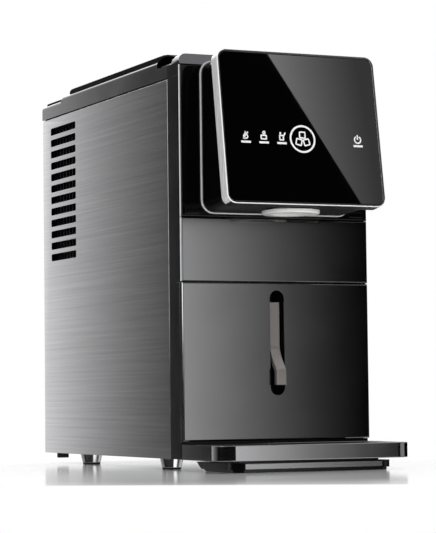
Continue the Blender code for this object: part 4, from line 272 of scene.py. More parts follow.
# One finish for each material slot of the record
SLOT_FINISHES = {
    # Ferritic stainless sheet, linished front to back: long fine lines and a stretched highlight
    "brushed_steel": Finish("stainless_sheet_linished", "#a2a2a4", Pattern.BRUSHED, 0.16, 1.0,
                            grain=(1.4, 90.0, 0.9), relief=0.003, tone_spread=0.10,
                            roughness_spread=0.03, anisotropy=0.9),
    # Electro-galvanised sheet, rolled: soft grey with faint crystals
    "zinc_sheet": Finish("galvanised_sheet_rolled", "#a9acae", Pattern.ROLLED, 0.45, 1.0,
                         grain=(7.0, 7.0, 7.0), relief=0.004, tone_spread=0.10),
    # ABS moulded in a spark-eroded tool: black with a soft sheen
    "frame_black": Finish("abs_black_moulded", "#0d0d0d", Pattern.MOULDED, 0.13, specular=0.15,
                          relief=0.006),
    # ABS moulded in a polished tool: deep black mirror
    "upper_black": Finish("abs_black_polished", "#050505", Pattern.POLISHED, 0.06,
                          grain=(9.0, 9.0, 9.0), relief=0.002, roughness_spread=0.02),
    # Dark vacuum-coated sheet, polished: a dim mirror
    "front_grey": Finish("coated_sheet_dark_mirror", "#787879", Pattern.POLISHED, 0.07, 1.0,
                         grain=(14.0, 14.0, 14.0), relief=0.001, tone_spread=0.03,
                         roughness_spread=0.02),
    # ABS in a satin metal-effect paint: a dim, soft mirror
    "top_grey": Finish("abs_metal_effect_paint", "#4d4d4f", Pattern.MOULDED, 0.14, 1.0,
                       grain=(1.6, 1.6, 1.6), relief=0.002, tone_spread=0.04),
    # ABS with a soft-touch lacquer: deep black with hardly any sheen
    "lid_black": Finish("abs_black_soft_touch", "#030303", Pattern.MOULDED, 0.60, specular=0.03,
                        grain=(1.2, 1.2, 1.2), relief=0.004),
    # EPDM rubber, moulded: dull black
    "seal_rubber": Finish("epdm_rubber_moulded", "#141414", Pattern.MOULDED, 0.75, relief=0.02),
    # Stainless shafts and flights, ground: fine rings and a bright streak
    "stainless": Finish("stainless_ground", "#bdbdbd", Pattern.BRUSHED, 0.26, 1.0,
                        grain=(0.7, 6.0, 0.7), relief=0.003, tone_spread=0.08),
    # ABS moulded in a polished tool, a little hazier than the panel behind it
    "neck_black": Finish("abs_black_polished_neck", "#060606", Pattern.POLISHED, 0.09, specular=0.35,
                         grain=(9.0, 9.0, 9.0), relief=0.002, roughness_spread=0.02),
    # ABS under a bright silver lacquer: pale and even
    "bright_trim": Finish("abs_silver_lacquered", "#dedede", Pattern.MOULDED, 0.32,
                          grain=(1.2, 1.2, 1.2), relief=0.002, tone_spread=0.03),
    # Zinc bezel, brushed and then silver lacquered: pale, with a faint grain
    "bezel_metal": Finish("zinc_brushed_silver_lacquered", "#e2e2e3", Pattern.BRUSHED, 0.26, 0.2,
                          grain=(0.8, 0.8, 26.0), relief=0.002, tone_spread=0.06),
    # Float glass, printed black from behind: a clean dark mirror
    "control_glass": Finish("float_glass_back_printed", "#030303", Pattern.POLISHED, 0.012,
                            grain=(60.0, 60.0, 60.0), relief=0.0003, tone_spread=0.02,
                            roughness_spread=0.004),
    # Polypropylene moulded in an eroded tool: dull black
    "inner_black": Finish("pp_black_moulded", "#121212", Pattern.MOULDED, 0.50, relief=0.012),
    # Fibreglass board under green solder mask, blotchy over the tracks
    "board_green": Finish("fr4_solder_mask", "#1c5a34", Pattern.MOULDED, 0.40,
                          grain=(1.2, 1.2, 1.2), relief=0.02, tone_spread=0.22, cloud=6.0),
    # Polypropylene for food contact, moulded white with a satin sheen
    "nozzle_white": Finish("pp_white_satin", "#f6f6f4", Pattern.MOULDED, 0.32, relief=0.006),
    # The same white polypropylene from a coarser tool, a little greyer
    "food_white": Finish("pp_white_moulded", "#d6d8d7", Pattern.MOULDED, 0.42, relief=0.012),
    # ABS lever with a satin metallic paint: warm grey, without a clear reflection
    "lever_grey": Finish("abs_satin_metallic_paint", "#8e8986", Pattern.MOULDED, 0.30, 0.45,
                         grain=(1.2, 1.2, 1.2), relief=0.004),
    # Dark vacuum-coated tray, as the front but a little lighter
    "tray_grey": Finish("coated_tray_dark_mirror", "#9c9c9d", Pattern.POLISHED, 0.11, 1.0,
                        grain=(12.0, 12.0, 12.0), relief=0.001, tone_spread=0.03,
                        roughness_spread=0.02),
    # Steel grate, powder coated: dark with a fine orange peel
    "grate_black": Finish("powder_coated_steel", "#1b1b1c", Pattern.MOULDED, 0.42,
                          grain=(1.4, 1.4, 1.4), relief=0.02),
    # ABS moulded in a half-polished tool: black with a clear, soft reflection
    "base_black": Finish("abs_black_satin", "#080808", Pattern.POLISHED, 0.16, specular=0.35,
                         grain=(8.0, 8.0, 8.0), relief=0.002),
    # Steel foot shells, nickel plated over fine turning lines: bright and streaked
    "foot_metal": Finish("steel_nickel_plated", "#d8d8d8", Pattern.BRUSHED, 0.16, 1.0,
                         grain=(3.0, 3.0, 0.6), relief=0.002, tone_spread=0.05),
    # Clear styrene-acrylonitrile, frosted inside: milky blue
    "bin_clear": Finish("san_frosted", "#dfe9ec", Pattern.MOULDED, 0.22, transmission=0.75,
                        grain=(2.0, 2.0, 2.0), relief=0.006),
    # Steel cans under a baked black enamel, slightly wavy
    "motor_black": Finish("steel_black_enamel", "#1a1a1a", Pattern.MOULDED, 0.34,
                          grain=(2.4, 2.4, 2.4), relief=0.01),
    # Polyurethane foam, expanded: pale with open cells
    "insulation": Finish("pu_foam_expanded", "#cfcbb8", Pattern.FOAMED, 0.9,
                         grain=(2.2, 2.2, 2.2), relief=0.25, tone_spread=0.12),
    # Silicone hose, extruded: milky and half clear
    "hose_clear": Finish("silicone_milky", "#d4d8d8", Pattern.MOULDED, 0.35, transmission=0.3),
    # The compressor's deep-drawn shell under a glossier enamel
    "compressor_black": Finish("steel_black_gloss_enamel", "#0e0e0f", Pattern.MOULDED, 0.22,
                               grain=(4.0, 4.0, 4.0), relief=0.02),
    # Drawn copper tube, lightly tarnished
    "copper": Finish("copper_drawn", "#b8734a", Pattern.BRUSHED, 0.30, 1.0,
                     grain=(3.0, 3.0, 14.0), relief=0.003, tone_spread=0.18),
    # Rolled aluminium fins with a black water-shedding coat and nearly no sheen; the black also stands as
    # painted shade inside the case, behind the vents
    "fin_aluminium": Finish("aluminium_fin_black_and_painted_shade", "#060607", Pattern.ROLLED, 0.60, specular=0.2,
                            grain=(5.0, 5.0, 5.0), relief=0.003),
}
# Left and lower front edge of the bezel, lacquered near-white as a painted highlight
PAINTED_HIGHLIGHT_EDGE = Finish("bezel_edge_painted_highlight", "#fafafa", Pattern.MOULDED, 0.20,
                     grain=(1.0, 1.0, 1.0), relief=0.001, tone_spread=0.02)
# Grained black underside of the neck, also laid on the bezel's underside as painted shade
GRAINED_BLACK_AND_UNDER_SHADE = Finish("abs_black_grained_and_painted_shade", "#121212", Pattern.MOULDED, 0.50, specular=0.2,
                       grain=(0.8, 0.8, 0.8), relief=0.01)
# Cut edge of the coated front panels, polished bright
CUT_EDGE = Finish("coated_sheet_cut_edge", "#cfcfcf", Pattern.POLISHED, 0.12, 1.0,
                  grain=(6.0, 6.0, 6.0), relief=0.001, tone_spread=0.03)
# The bezel's front rim and its upper and right edges, in a dark metal as painted shade
BEZEL_RIM_PAINTED_SHADE = Finish("bezel_rim_painted_shade", "#5c5c5f", Pattern.POLISHED, 0.25, 1.0,
                   grain=(2.0, 2.0, 2.0), relief=0.001, tone_spread=0.03)
# Edge of the front panels under a silver lacquer
EDGE_BAND = Finish("panel_edge_silver_lacquer", "#e4e4e4", Pattern.MOULDED, 0.36,
                   grain=(1.0, 1.0, 1.0), relief=0.002, tone_spread=0.03)
# Steel edge after linishing: burnished to a bright line
STEEL_EDGE = Finish("stainless_edge_burnished", "#dadada", Pattern.POLISHED, 0.16, 1.0,
                    grain=(2.0, 2.0, 2.0), relief=0.001, tone_spread=0.04)
# Satin aluminium strip set in the tray's base
BASE_STRIP = Finish("aluminium_strip_satin", "#a6a6a7", Pattern.BRUSHED, 0.20, 1.0,
                    grain=(40.0, 1.0, 0.8), relief=0.002, tone_spread=0.06)
# Ceramic ink, fired on the glass: flat white
SYMBOL_INK = Finish("ceramic_ink_white", "#f4f4f4", Pattern.MOULDED, 0.40,
                    grain=(0.6, 0.6, 0.6), relief=0.004, tone_spread=0.02)
# Steel screw heads with a black oxide
SCREW_STEEL = Finish("steel_black_oxide", "#3a3a3b", Pattern.ROLLED, 0.35, 1.0,
                     grain=(1.5, 1.5, 1.5), relief=0.004)


def block(low: Sequence[float], high: Sequence[float]) -> bmesh.types.BMesh:
    """Start a bmesh as a block between two opposite corners.

    Args:
        low: Lowest corner.
        high: Highest corner.

    Returns:
        The new bmesh.
    """
    bm = bmesh.new()
    size = Vector(high) - Vector(low)
    place = Matrix.Translation((Vector(low) + Vector(high)) / 2) @ Matrix.Diagonal((*size, 1.0))
    bmesh.ops.create_cube(bm, size=1, matrix=place)
    return bm


def round_edges(bm: bmesh.types.BMesh, width: float, segments: int,
                chosen: Callable[[bmesh.types.BMEdge], bool]) -> None:
    """Round the chosen edges.

    Args:
        bm: The mesh to change.
        width: How far the rounding reaches from an edge.
        segments: Steps across the rounding.
        chosen: Says whether an edge is rounded.
    """
    edges = [edge for edge in bm.edges if chosen(edge)]
    bmesh.ops.bevel(bm, geom=edges, offset=width, offset_type="OFFSET", segments=segments, profile=0.5,
                    affect="EDGES", clamp_overlap=True, material=-1)


def runs_along(edge: bmesh.types.BMEdge, axis: int) -> bool:
    """Tell whether an edge runs along X, Y or Z, as 0, 1 or 2."""
    way = edge.verts[1].co - edge.verts[0].co
    return all(abs(way[index]) < MERGE for index in range(3) if index != axis)


def lies_at(edge: bmesh.types.BMEdge, axis: int, value: float) -> bool:
    """Tell whether both ends of an edge lie at a value along an axis."""
    return all(abs(vert.co[axis] - value) < MERGE for vert in edge.verts)


def face_at(bm: bmesh.types.BMesh, axis: int, value: float) -> bmesh.types.BMFace:
    """Find the largest face that lies flat at a value along an axis."""
    flat = [face for face in bm.faces if all(abs(vert.co[axis] - value) < MERGE for vert in face.verts)]
    return max(flat, key=lambda face: face.calc_area())


def sink(bm: bmesh.types.BMesh, face: bmesh.types.BMFace, border: float, travel: Sequence[float]) -> None:
    """Inset a face by a border and push its middle along a vector.

    Args:
        bm: The mesh to change.
        face: The face to sink.
        border: Width of the rim that stays.
        travel: How far the middle moves.
    """
    bmesh.ops.inset_region(bm, faces=[face], thickness=border, use_even_offset=True)
    grown = bmesh.ops.extrude_discrete_faces(bm, faces=[face])["faces"][0]
    bmesh.ops.translate(bm, vec=travel, verts=grown.verts)


def turned(section: Iterable[tuple[float, float]], centre: Sequence[float], steps: int,
           closed: bool = False) -> bmesh.types.BMesh:
    """Turn a section about an upright axis.

    Args:
        section: Points as (radius, height), in order.
        centre: Place of the axis as (x, y).
        steps: Sides of the round.
        closed: Whether the section is a loop round a bore.

    Returns:
        The turned solid.
    """
    bm = bmesh.new()
    points = [bm.verts.new((radius, 0.0, height)) for radius, height in section]
    pairs = list(zip(points, points[1:])) + ([(points[-1], points[0])] if closed else [])
    edges = [bm.edges.new(pair) for pair in pairs]
    bmesh.ops.spin(bm, geom=points + edges, axis=(0, 0, 1), cent=(0, 0, 0), steps=steps, angle=math.tau,
                   use_merge=True)
    bmesh.ops.remove_doubles(bm, verts=bm.verts, dist=MERGE)
    bmesh.ops.translate(bm, vec=(centre[0], centre[1], 0.0), verts=bm.verts)
    bmesh.ops.recalc_face_normals(bm, faces=bm.faces)
    return bm


def merged_copy(node: str) -> bmesh.types.BMesh:
    """Copy a CAD node's mesh with its points merged and its flat faces joined.

    Args:
        node: The CAD node's name.

    Returns:
        The copy.
    """
    bm = bmesh.new()
    bm.from_mesh(frame["nodes"][node].data)
    bmesh.ops.remove_doubles(bm, verts=bm.verts, dist=MERGE)
    bmesh.ops.dissolve_limit(bm, angle_limit=FLAT_TURN, verts=bm.verts, edges=bm.edges,
                             use_dissolve_boundaries=False)
    return bm


def make_piece(bm: bmesh.types.BMesh, name: str, finishes: Sequence[Finish], body: str,
               nodes: Sequence[str] = ()) -> bpy.types.Object:
    """Turn a bmesh into a finished piece that rides on a body.

    Args:
        bm: The shape, which is freed.
        name: The piece's name.
        finishes: One finish for each material number in the shape.
        body: The CAD body that carries it.
        nodes: CAD nodes that the piece stands for.

    Returns:
        The new object.
    """
    mesh = bpy.data.meshes.new(name)
    bm.to_mesh(mesh)
    bm.free()
    mesh.shade_smooth()
    mesh.set_sharp_from_angle(angle=SHARP_TURN)
    piece = bpy.data.objects.new(name, mesh)
    bpy.context.scene.collection.objects.link(piece)
    for finish in finishes:
        mesh.materials.append(finish.material())
    weighted = piece.modifiers.new("face_weighted_normals", "WEIGHTED_NORMAL")
    weighted.keep_sharp = True
    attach(piece, body)
    if nodes:
        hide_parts(*nodes)
    LOG.info("piece %s on %s", name, body)
    return piece


@dataclass
class SubAssembly:
    """A group of CAD nodes that are refined and dressed together.

    Attributes:
        nodes: CAD nodes and the width of their rounded edges; a width of zero keeps the node as it is.
        edge_steps: Steps across a rounded edge.
    """

    nodes: dict[str, float] = field(default_factory=dict)
    edge_steps: int = 2

    def build(self) -> None:
        """Make every piece of the group."""
        for node, width in self.nodes.items():
            if width:
                self.refine(node, width)
            else:
                self.dress(node)

    def body_of(self, node: str) -> str:
        """Give the name of the body that carries a CAD node."""
        return frame["nodes"][node]["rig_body"]

    def dress(self, node: str) -> None:
        """Give a CAD node its finish and keep its shape.

        Args:
            node: The CAD node.
        """
        shown = frame["nodes"][node]
        shown.data.materials.clear()
        shown.data.materials.append(SLOT_FINISHES[NODE_SLOTS[node]].material())
        LOG.info("node %s dressed", node)

    def refine(self, node: str, width: float) -> bpy.types.Object:
        """Stand a copy with rounded edges in a CAD node's place.

        Args:
            node: The CAD node.
            width: Width of the rounding.

        Returns:
            The new piece.
        """
        bm = merged_copy(node)
        self.prepare(bm, node)
        round_edges(bm, width, self.edge_steps,
                    lambda edge: edge.is_manifold and edge.calc_face_angle() > ROUNDED_TURN)
        bm.normal_update()
        extra = self.paint(bm, node)
        return make_piece(bm, f"{node}_fine", [SLOT_FINISHES[NODE_SLOTS[node]], *extra], self.body_of(node),
                          [node])

    def prepare(self, bm: bmesh.types.BMesh, node: str) -> None:
        """Shape a node's copy before its edges are rounded."""

    def paint(self, bm: bmesh.types.BMesh, node: str) -> Sequence[Finish]:
        """Give some faces another finish, and return the finishes that follow the node's own."""
        return []


@dataclass
class CaseShell(SubAssembly):
    """Steel sides, pan, back and the moulded frame behind the front panels.

    Attributes:
        nodes: The nodes and their rounding.
        burnish: Width of a burnished edge.
        plain_end: Length at the back where the edge isn't burnished.
    """

    nodes: dict[str, float] = field(default_factory=lambda: {
        "side_panel_left": 0.15 * MM, "side_panel_right": 0.15 * MM, "base_pan": 0.3 * MM,
        "back_panel": 0.3 * MM, "inner_frame": 0.2 * MM, "rear_shelf": 0.2 * MM, "front_frame": 0.3 * MM})
    burnish: float = 0.7 * MM
    plain_end: float = 6.0 * MM

    def prepare(self, bm: bmesh.types.BMesh, node: str) -> None:
        """Chamfer the front and top edges of a steel side, which are burnished bright.

        Args:
            bm: The node's copy.
            node: The CAD node.
        """
        if not node.startswith("side_panel"):
            return
        low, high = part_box(node)
        outer = low.x if low.x < 0 < -high.x else high.x
        round_edges(bm, self.burnish, 1, lambda edge: lies_at(edge, 0, outer)
                    and (lies_at(edge, 1, low.y) or lies_at(edge, 2, high.z)))
        for face in bm.faces:
            slanted = SLANTED < abs(face.normal.x) < SQUARE
            face.material_index = int(slanted and face.calc_center_median().y < high.y - self.plain_end)

    def paint(self, bm: bmesh.types.BMesh, node: str) -> Sequence[Finish]:
        """Keep the burnished edges of the steel sides."""
        return [STEEL_EDGE] if node.startswith("side_panel") else []


@dataclass
class FrontPanels(SubAssembly):
    """Upper, middle and lower front panels, with their bright cut edges.

    Attributes:
        nodes: The nodes and their rounding.
        edge_reach: How far in from the side an upright chamfer is looked for.
        return_reach: The same for the folded side of a panel.
    """

    nodes: dict[str, float] = field(default_factory=lambda: {
        "upper_front_panel": 0.3 * MM, "middle_front_panel": 0.3 * MM, "lower_front_cover": 0.3 * MM})
    edge_reach: float = 2.0 * MM
    return_reach: float = 1.5 * MM

    def paint(self, bm: bmesh.types.BMesh, node: str) -> Sequence[Finish]:
        """Make the lower cover's upright chamfers bright, tell the sides apart, and make the top chamfers
        black as painted shade.

        Args:
            bm: The node's copy.
            node: The CAD node.

        Returns:
            Finishes of the chamfers, the sides and the top chamfer's painted shade.
        """
        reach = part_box(node)[1].x
        lower = node == "lower_front_cover"
        black = SLOT_FINISHES["frame_black"]
        for face in bm.faces:
            across = abs(face.calc_center_median().x)
            forward = face.normal.y < -SLANTED
            if across > reach - self.edge_reach and SLANTED < abs(face.normal.x) < SQUARE and forward:
                face.material_index = int(lower)
            elif across > reach - self.return_reach and abs(face.normal.x) > SQUARE:
                face.material_index = 2
            # Upward chamfers of the upper and middle panels go black: painted shade beneath the parts above
            # them
            elif not lower and face.normal.z > SLANTED and forward:
                face.material_index = 3
        return [CUT_EDGE, black if lower else EDGE_BAND, black]


@dataclass
class TopAndLid(SubAssembly):
    """The stepped top, the lid on its rear hinge, and the lid's seal.

    Attributes:
        nodes: The nodes and their rounding.
        strip: Length of the black strip at the front of the cover's sides.
        tail: Where the cover's tail starts, from the front.
        plate_height: Height of the raised plate on the tail.
        skin: How far above its foot the plate's paint starts.
        side_reach: How far in from the side a face still belongs to the side.
        edge_reach: The same for the upright chamfer at the front.
        facing: Share of the normal past which a face counts as a side.
        sloping: The same for undersides, whose black also stands as painted shade in the seam under the band.
    """

    nodes: dict[str, float] = field(default_factory=lambda: {
        "top_cover": 0.4 * MM, "top_lid": 0.6 * MM, "lid_seal": 0.4 * MM, "lid_hinge_pin": 0.2 * MM})
    strip: float = 34.35 * MM
    tail: float = 358.0 * MM
    plate_height: float = 3.0 * MM
    skin: float = 0.05 * MM
    side_reach: float = 1.0 * MM
    edge_reach: float = 2.0 * MM
    facing: float = 0.9
    sloping: float = 0.5

    def prepare(self, bm: bmesh.types.BMesh, node: str) -> None:
        """Part the cover's side where the black strip ends.

        Args:
            bm: The node's copy.
            node: The CAD node.
        """
        if node == "top_cover":
            bmesh.ops.bisect_plane(bm, geom=bm.verts[:] + bm.edges[:] + bm.faces[:],
                                   plane_co=(0, FRONT + self.strip, 0), plane_no=(0, 1, 0), dist=MERGE)

    def paint(self, bm: bmesh.types.BMesh, node: str) -> Sequence[Finish]:
        """Blacken the cover's front strip, its inside and the raised plate on its tail; the black undersides
        are also painted shade in the seam under the band.

        Args:
            bm: The node's copy.
            node: The CAD node.

        Returns:
            Finishes of the black plastic, the plate and the bright chamfer.
        """
        if node != "top_cover":
            return []
        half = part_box(node)[1].x
        plate = max(vert.co.z for vert in bm.verts if vert.co.y > FRONT + self.tail) - self.plate_height
        for face in bm.faces:
            middle, normal = face.calc_center_median(), face.normal
            side = abs(normal.x) > self.facing
            if abs(middle.x) > half - self.side_reach and side and middle.y < FRONT + self.strip:
                face.material_index = 1
            elif middle.y > FRONT + self.tail and middle.z > plate + self.skin:
                face.material_index = 2
            elif (abs(normal.x) > SLANTED and -SQUARE < normal.y < -SLANTED
                  and abs(middle.x) > half - self.edge_reach):
                face.material_index = 3
            # Undersides and inner walls go black; in the seam under the band this black is painted shade
            elif normal.z < -self.sloping or (side and abs(middle.x) < half - self.edge_reach):
                face.material_index = 1
        return [SLOT_FINISHES["frame_black"], SLOT_FINISHES["lid_black"], CUT_EDGE]


@dataclass
class Neck(SubAssembly):
    """The black housing between case and head, with its bright line and two screws below.

    Attributes:
        nodes: The nodes and their rounding.
        screw_places: Places of the screws across the machine.
        screw_reach: How far they stand in front of the panels.
        screw_radius: Radius of a head.
        screw_flat: Share of the radius that is flat.
        screw_height: How far a head stands out.
        screw_sides: Sides of its round.
        under: Share of the normal past which a face counts as the underside.
        rise_share: Share of the nozzle's height that the underside climbs over the neck's length.
    """

    nodes: dict[str, float] = field(default_factory=lambda: {
        "neck_housing": 0.4 * MM, "neck_trim": 0.6 * MM})
    screw_places: tuple[float, ...] = (-56.6 * MM, 51.0 * MM)
    screw_reach: float = 34.5 * MM
    screw_radius: float = 2.6 * MM
    screw_flat: float = 0.7
    screw_height: float = 0.8 * MM
    screw_sides: int = 32
    under: float = 0.5
    rise_share: float = 0.25

    def paint(self, bm: bmesh.types.BMesh, node: str) -> Sequence[Finish]:
        """Grain the underside of the housing.

        Args:
            bm: The node's copy.
            node: The CAD node.

        Returns:
            The finish of the underside.
        """
        if node != "neck_housing":
            return []
        for face in bm.faces:
            face.material_index = int(face.normal.z < -self.under)
        return [GRAINED_BLACK_AND_UNDER_SHADE]

    def build(self) -> None:
        """Make the housing, the trim and the screws."""
        super().build()
        low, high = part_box("neck_housing")
        ring_low, ring_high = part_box("nozzle_ring")
        rise = (ring_high.z - ring_low.z) * self.screw_reach / (high.y - low.y) * self.rise_share
        face = low.z + rise - self.screw_height
        root = face + self.screw_height * 2
        section = [(0, face), (self.screw_radius * self.screw_flat, face),
                   (self.screw_radius, face + self.screw_height / 2), (self.screw_radius, root), (0, root)]
        for number, x in enumerate(self.screw_places):
            bm = turned(section, (x, FRONT - self.screw_reach), self.screw_sides)
            make_piece(bm, f"neck_screw_{number}", [SCREW_STEEL], "case")


@dataclass(frozen=True)
class Hoop:
    """A round outline that belongs to a symbol.

    Attributes:
        name: The piece's name.
        radius: Outer radius.
        stroke: Width of the line.
        sides: Sides of the round.
        across: Middle, to the right of the symbol's place.
        up: Middle, above the symbol's line.
    """

    name: str
    radius: float
    stroke: float
    sides: int
    across: float = 0.0
    up: float = 0.0


@dataclass(frozen=True)
class Bar:
    """A bar or a rounded frame that belongs to a symbol.

    Attributes:
        name: The piece's name.
        across: Middle, to the right of the symbol's place.
        up: Middle, above the symbol's line.
        width: Outer width.
        height: Outer height.
        turn_degrees: How far it leans.
        stroke: Width of a frame's line; a plain bar has none.
        corner: Rounding of the corners.
        corner_steps: Steps round a corner.
    """

    name: str
    across: float
    up: float
    width: float
    height: float
    turn_degrees: float = 0.0
    stroke: float = 0.0
    corner: float = 0.0
    corner_steps: int = 3


@dataclass
class ControlHead(SubAssembly):
    """The tilted head: bezel, glass with its symbols, rear plate and board.

    The head's own frame has x across, y as the depth behind its front face, and z climbing the face.

    Attributes:
        nodes: The nodes and their rounding.
        lean_degrees: How far the head leans back.
        centre: Middle of its front face, from the front panels.
        height: Height of the bezel.
        depth: Depth of the bezel.
        corner: Radius of its corners.
        corner_steps: Steps round a corner.
        wall: Width of its rim.
        edge: Width of its front edge, whose left and lower faces carry a painted highlight.
        edge_share: Share of that width that tells the edge's faces from the sides.
        facing: Share of the normal past which a face counts as the front.
        leaning: Share past which an edge face counts as left or lower, and takes the painted highlight.
        under: Share past which a face counts as the underside, which is black as painted shade.
        glass_recess: How far the glass lies behind the bezel's front.
        glass_thick: Thickness of the glass.
        glass_edge: Seaming of the glass.
        plate_thick: Thickness of the rear plate.
        gap: Room round the glass and the plate.
        ink: Thickness of the print.
        symbol_line: Height of the symbols' line.
        symbol_places: Places of the status symbols.
        power_place: Place of the power symbol.
        ring_place: Place of the ring symbol.
        ring_line: Height of the ring's middle.
        mark_line: Height of the marks under the symbols.
        ring: The ring symbol's outline.
        cubes: The three frames inside it.
        drop: The drop symbol, before it is drawn out to a tip.
        drop_tip: Smallest width of the tip, as a share.
        drop_taper: Curve of the drop towards its tip.
        drop_stretch: How much longer the drop's upper half is made.
        drop_slash: The bar across the drop.
        basket: The basket symbol's frame.
        basket_ice: The small round over it.
        bottle: The bars of the bottle symbol.
        power_ring: The power symbol's ring.
        power_gap: Half the ring's opening.
        power_bar: The upright bar in the opening.
        mark_size: Width and height of a mark.
    """

    nodes: dict[str, float] = field(default_factory=lambda: {
        "head_back_plate": 0.2 * MM, "control_board": 0.2 * MM})
    lean_degrees: float = 8.79
    centre: tuple[float, float, float] = (0.0, -65.15 * MM, 355.8 * MM)
    height: float = 164.2 * MM
    depth: float = 14.6 * MM
    corner: float = 10.0 * MM
    corner_steps: int = 12
    wall: float = 2.4 * MM
    edge: float = 0.9 * MM
    edge_share: float = 0.9
    facing: float = 0.9
    leaning: float = 0.1
    under: float = 0.8
    glass_recess: float = 0.3 * MM
    glass_thick: float = 3.0 * MM
    glass_edge: float = 0.35 * MM
    plate_thick: float = 2.0 * MM
    gap: float = 0.3 * MM
    ink: float = 0.05 * MM
    symbol_line: float = -9.8 * MM
    symbol_places: tuple[float, ...] = (-65.8 * MM, -45.2 * MM, -24.6 * MM)
    power_place: float = 64.7 * MM
    ring_place: float = -0.3 * MM
    ring_line: float = -11.4 * MM
    mark_line: float = -16.7 * MM
    ring: Hoop = Hoop("symbol_ring", 14.9 * MM, 2.0 * MM, 96)
    cubes: tuple[Bar, ...] = tuple(
        Bar(f"symbol_cube_{number}", across * MM, up * MM, 7.8 * MM, 7.8 * MM, turn, 1.5 * MM, 1.5 * MM, 4)
        for number, (across, up, turn) in enumerate((
            (0.0, 4.3, 0.0), (-4.4, -3.3, 14.0), (4.4, -3.3, -14.0))))
    drop: Hoop = Hoop("symbol_drop", 3.0 * MM, 1.3 * MM, 32, up=-1.0 * MM)
    drop_tip: float = 0.02
    drop_taper: float = 0.7
    drop_stretch: float = 1.9
    drop_slash: Bar = Bar("symbol_drop_slash", 0.0, 0.0, 1.3 * MM, 9.5 * MM, 38.0)
    basket: Bar = Bar("symbol_basket", 0.0, -1.2 * MM, 7.4 * MM, 5.4 * MM, 0.0, 1.5 * MM, 1.0 * MM)
    basket_ice: Hoop = Hoop("symbol_basket_ice", 1.9 * MM, 1.2 * MM, 24, 0.6 * MM, 3.6 * MM)
    bottle: tuple[Bar, ...] = (
        Bar("symbol_bottle", 0.0, -1.0 * MM, 5.6 * MM, 6.2 * MM, 0.0, 1.5 * MM, 1.0 * MM),
        Bar("symbol_bottle_neck", -1.2 * MM, 3.6 * MM, 2.0 * MM, 2.4 * MM),
        Bar("symbol_brush", 3.4 * MM, 2.4 * MM, 1.4 * MM, 5.0 * MM, 30.0))
    power_ring: Hoop = Hoop("symbol_power_ring", 4.4 * MM, 1.5 * MM, 48)
    power_gap: float = 1.7 * MM
    power_bar: Bar = Bar("symbol_power_bar", 0.0, 2.8 * MM, 1.5 * MM, 5.2 * MM)
    mark_size: tuple[float, float] = (11.0 * MM, 2.2 * MM)

    def place(self) -> Matrix:
        """Give the matrix from the head's own frame to the machine's."""
        return (Matrix.Translation((self.centre[0], FRONT + self.centre[1], self.centre[2]))
                @ Matrix.Rotation(math.radians(-self.lean_degrees), 4, "X"))

    def build(self) -> None:
        """Make the head's pieces."""
        super().build()
        self.make_bezel()
        self.make_glass()
        self.make_ring()
        self.make_status_symbols()
        self.make_power_symbol()
        self.make_marks()

    def plate(self, inset: float, near: float, far: float) -> bmesh.types.BMesh:
        """Make a plate with the head's rounded outline.

        Args:
            inset: How far the outline is drawn in.
            near: Front of the plate.
            far: Back of the plate.

        Returns:
            The plate in the head's own frame.
        """
        half_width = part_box("head_bezel")[1].x - inset
        half_height = self.height / 2 - inset
        bm = block((-half_width, near, -half_height), (half_width, far, half_height))
        round_edges(bm, self.corner - inset, self.corner_steps, lambda edge: runs_along(edge, 1))
        return bm

    def make_bezel(self) -> None:
        """Make the brushed bezel, with a painted highlight on its front edge at the left and below, painted
        shade on the rest of that edge, and a black underside as painted shade.
        """
        bm = self.plate(0.0, 0.0, self.depth)
        round_edges(bm, self.edge, 1, lambda edge: lies_at(edge, 1, 0.0))
        bm.normal_update()
        front_face = face_at(bm, 1, 0.0)
        sink(bm, front_face, self.wall - self.edge, (0, self.glass_recess + self.glass_thick + self.gap, 0))
        # Left and lower edge faces get the painted highlight, the front rim and the upper and right edges get
        # painted shade, and the underside goes black as painted shade
        for face in bm.faces:
            across, along, up = face.normal
            if face.calc_center_median().y < self.edge * self.edge_share:
                lit = -self.facing < along < -SLANTED and min(across, up) < -self.leaning
                face.material_index = 1 if lit else 2
            elif up < -self.under:
                face.material_index = 3
        rear_face = face_at(bm, 1, self.depth)
        sink(bm, rear_face, self.wall, (0, -self.plate_thick - self.gap, 0))
        bmesh.ops.transform(bm, matrix=self.place(), verts=bm.verts)
        finishes = [SLOT_FINISHES["bezel_metal"], PAINTED_HIGHLIGHT_EDGE, BEZEL_RIM_PAINTED_SHADE, GRAINED_BLACK_AND_UNDER_SHADE]
        make_piece(bm, "head_bezel_fine", finishes, "case", ["head_bezel"])

    def make_glass(self) -> None:
        """Make the glass with its seamed edge."""
        bm = self.plate(self.wall + self.gap, self.glass_recess, self.glass_recess + self.glass_thick)
        round_edges(bm, self.glass_edge, self.edge_steps, lambda edge: lies_at(edge, 1, self.glass_recess))
        bmesh.ops.transform(bm, matrix=self.place(), verts=bm.verts)
        make_piece(bm, "control_glass_fine", [SLOT_FINISHES["control_glass"]], "case",
                   ["control_glass"])

    def print_on_glass(self, bm: bmesh.types.BMesh, name: str) -> None:
        """Print a flat shape, drawn in x and z at y = 0, on the glass.

        Args:
            bm: The flat shape.
            name: The piece's name.
        """
        grown = bmesh.ops.extrude_face_region(bm, geom=bm.faces[:])
        verts = [item for item in grown["geom"] if isinstance(item, bmesh.types.BMVert)]
        bmesh.ops.translate(bm, vec=(0, -self.ink, 0), verts=verts)
        bmesh.ops.translate(bm, vec=(0, self.glass_recess, 0), verts=bm.verts)
        bmesh.ops.recalc_face_normals(bm, faces=bm.faces)
        bmesh.ops.transform(bm, matrix=self.place(), verts=bm.verts)
        make_piece(bm, name, [SYMBOL_INK], "case")

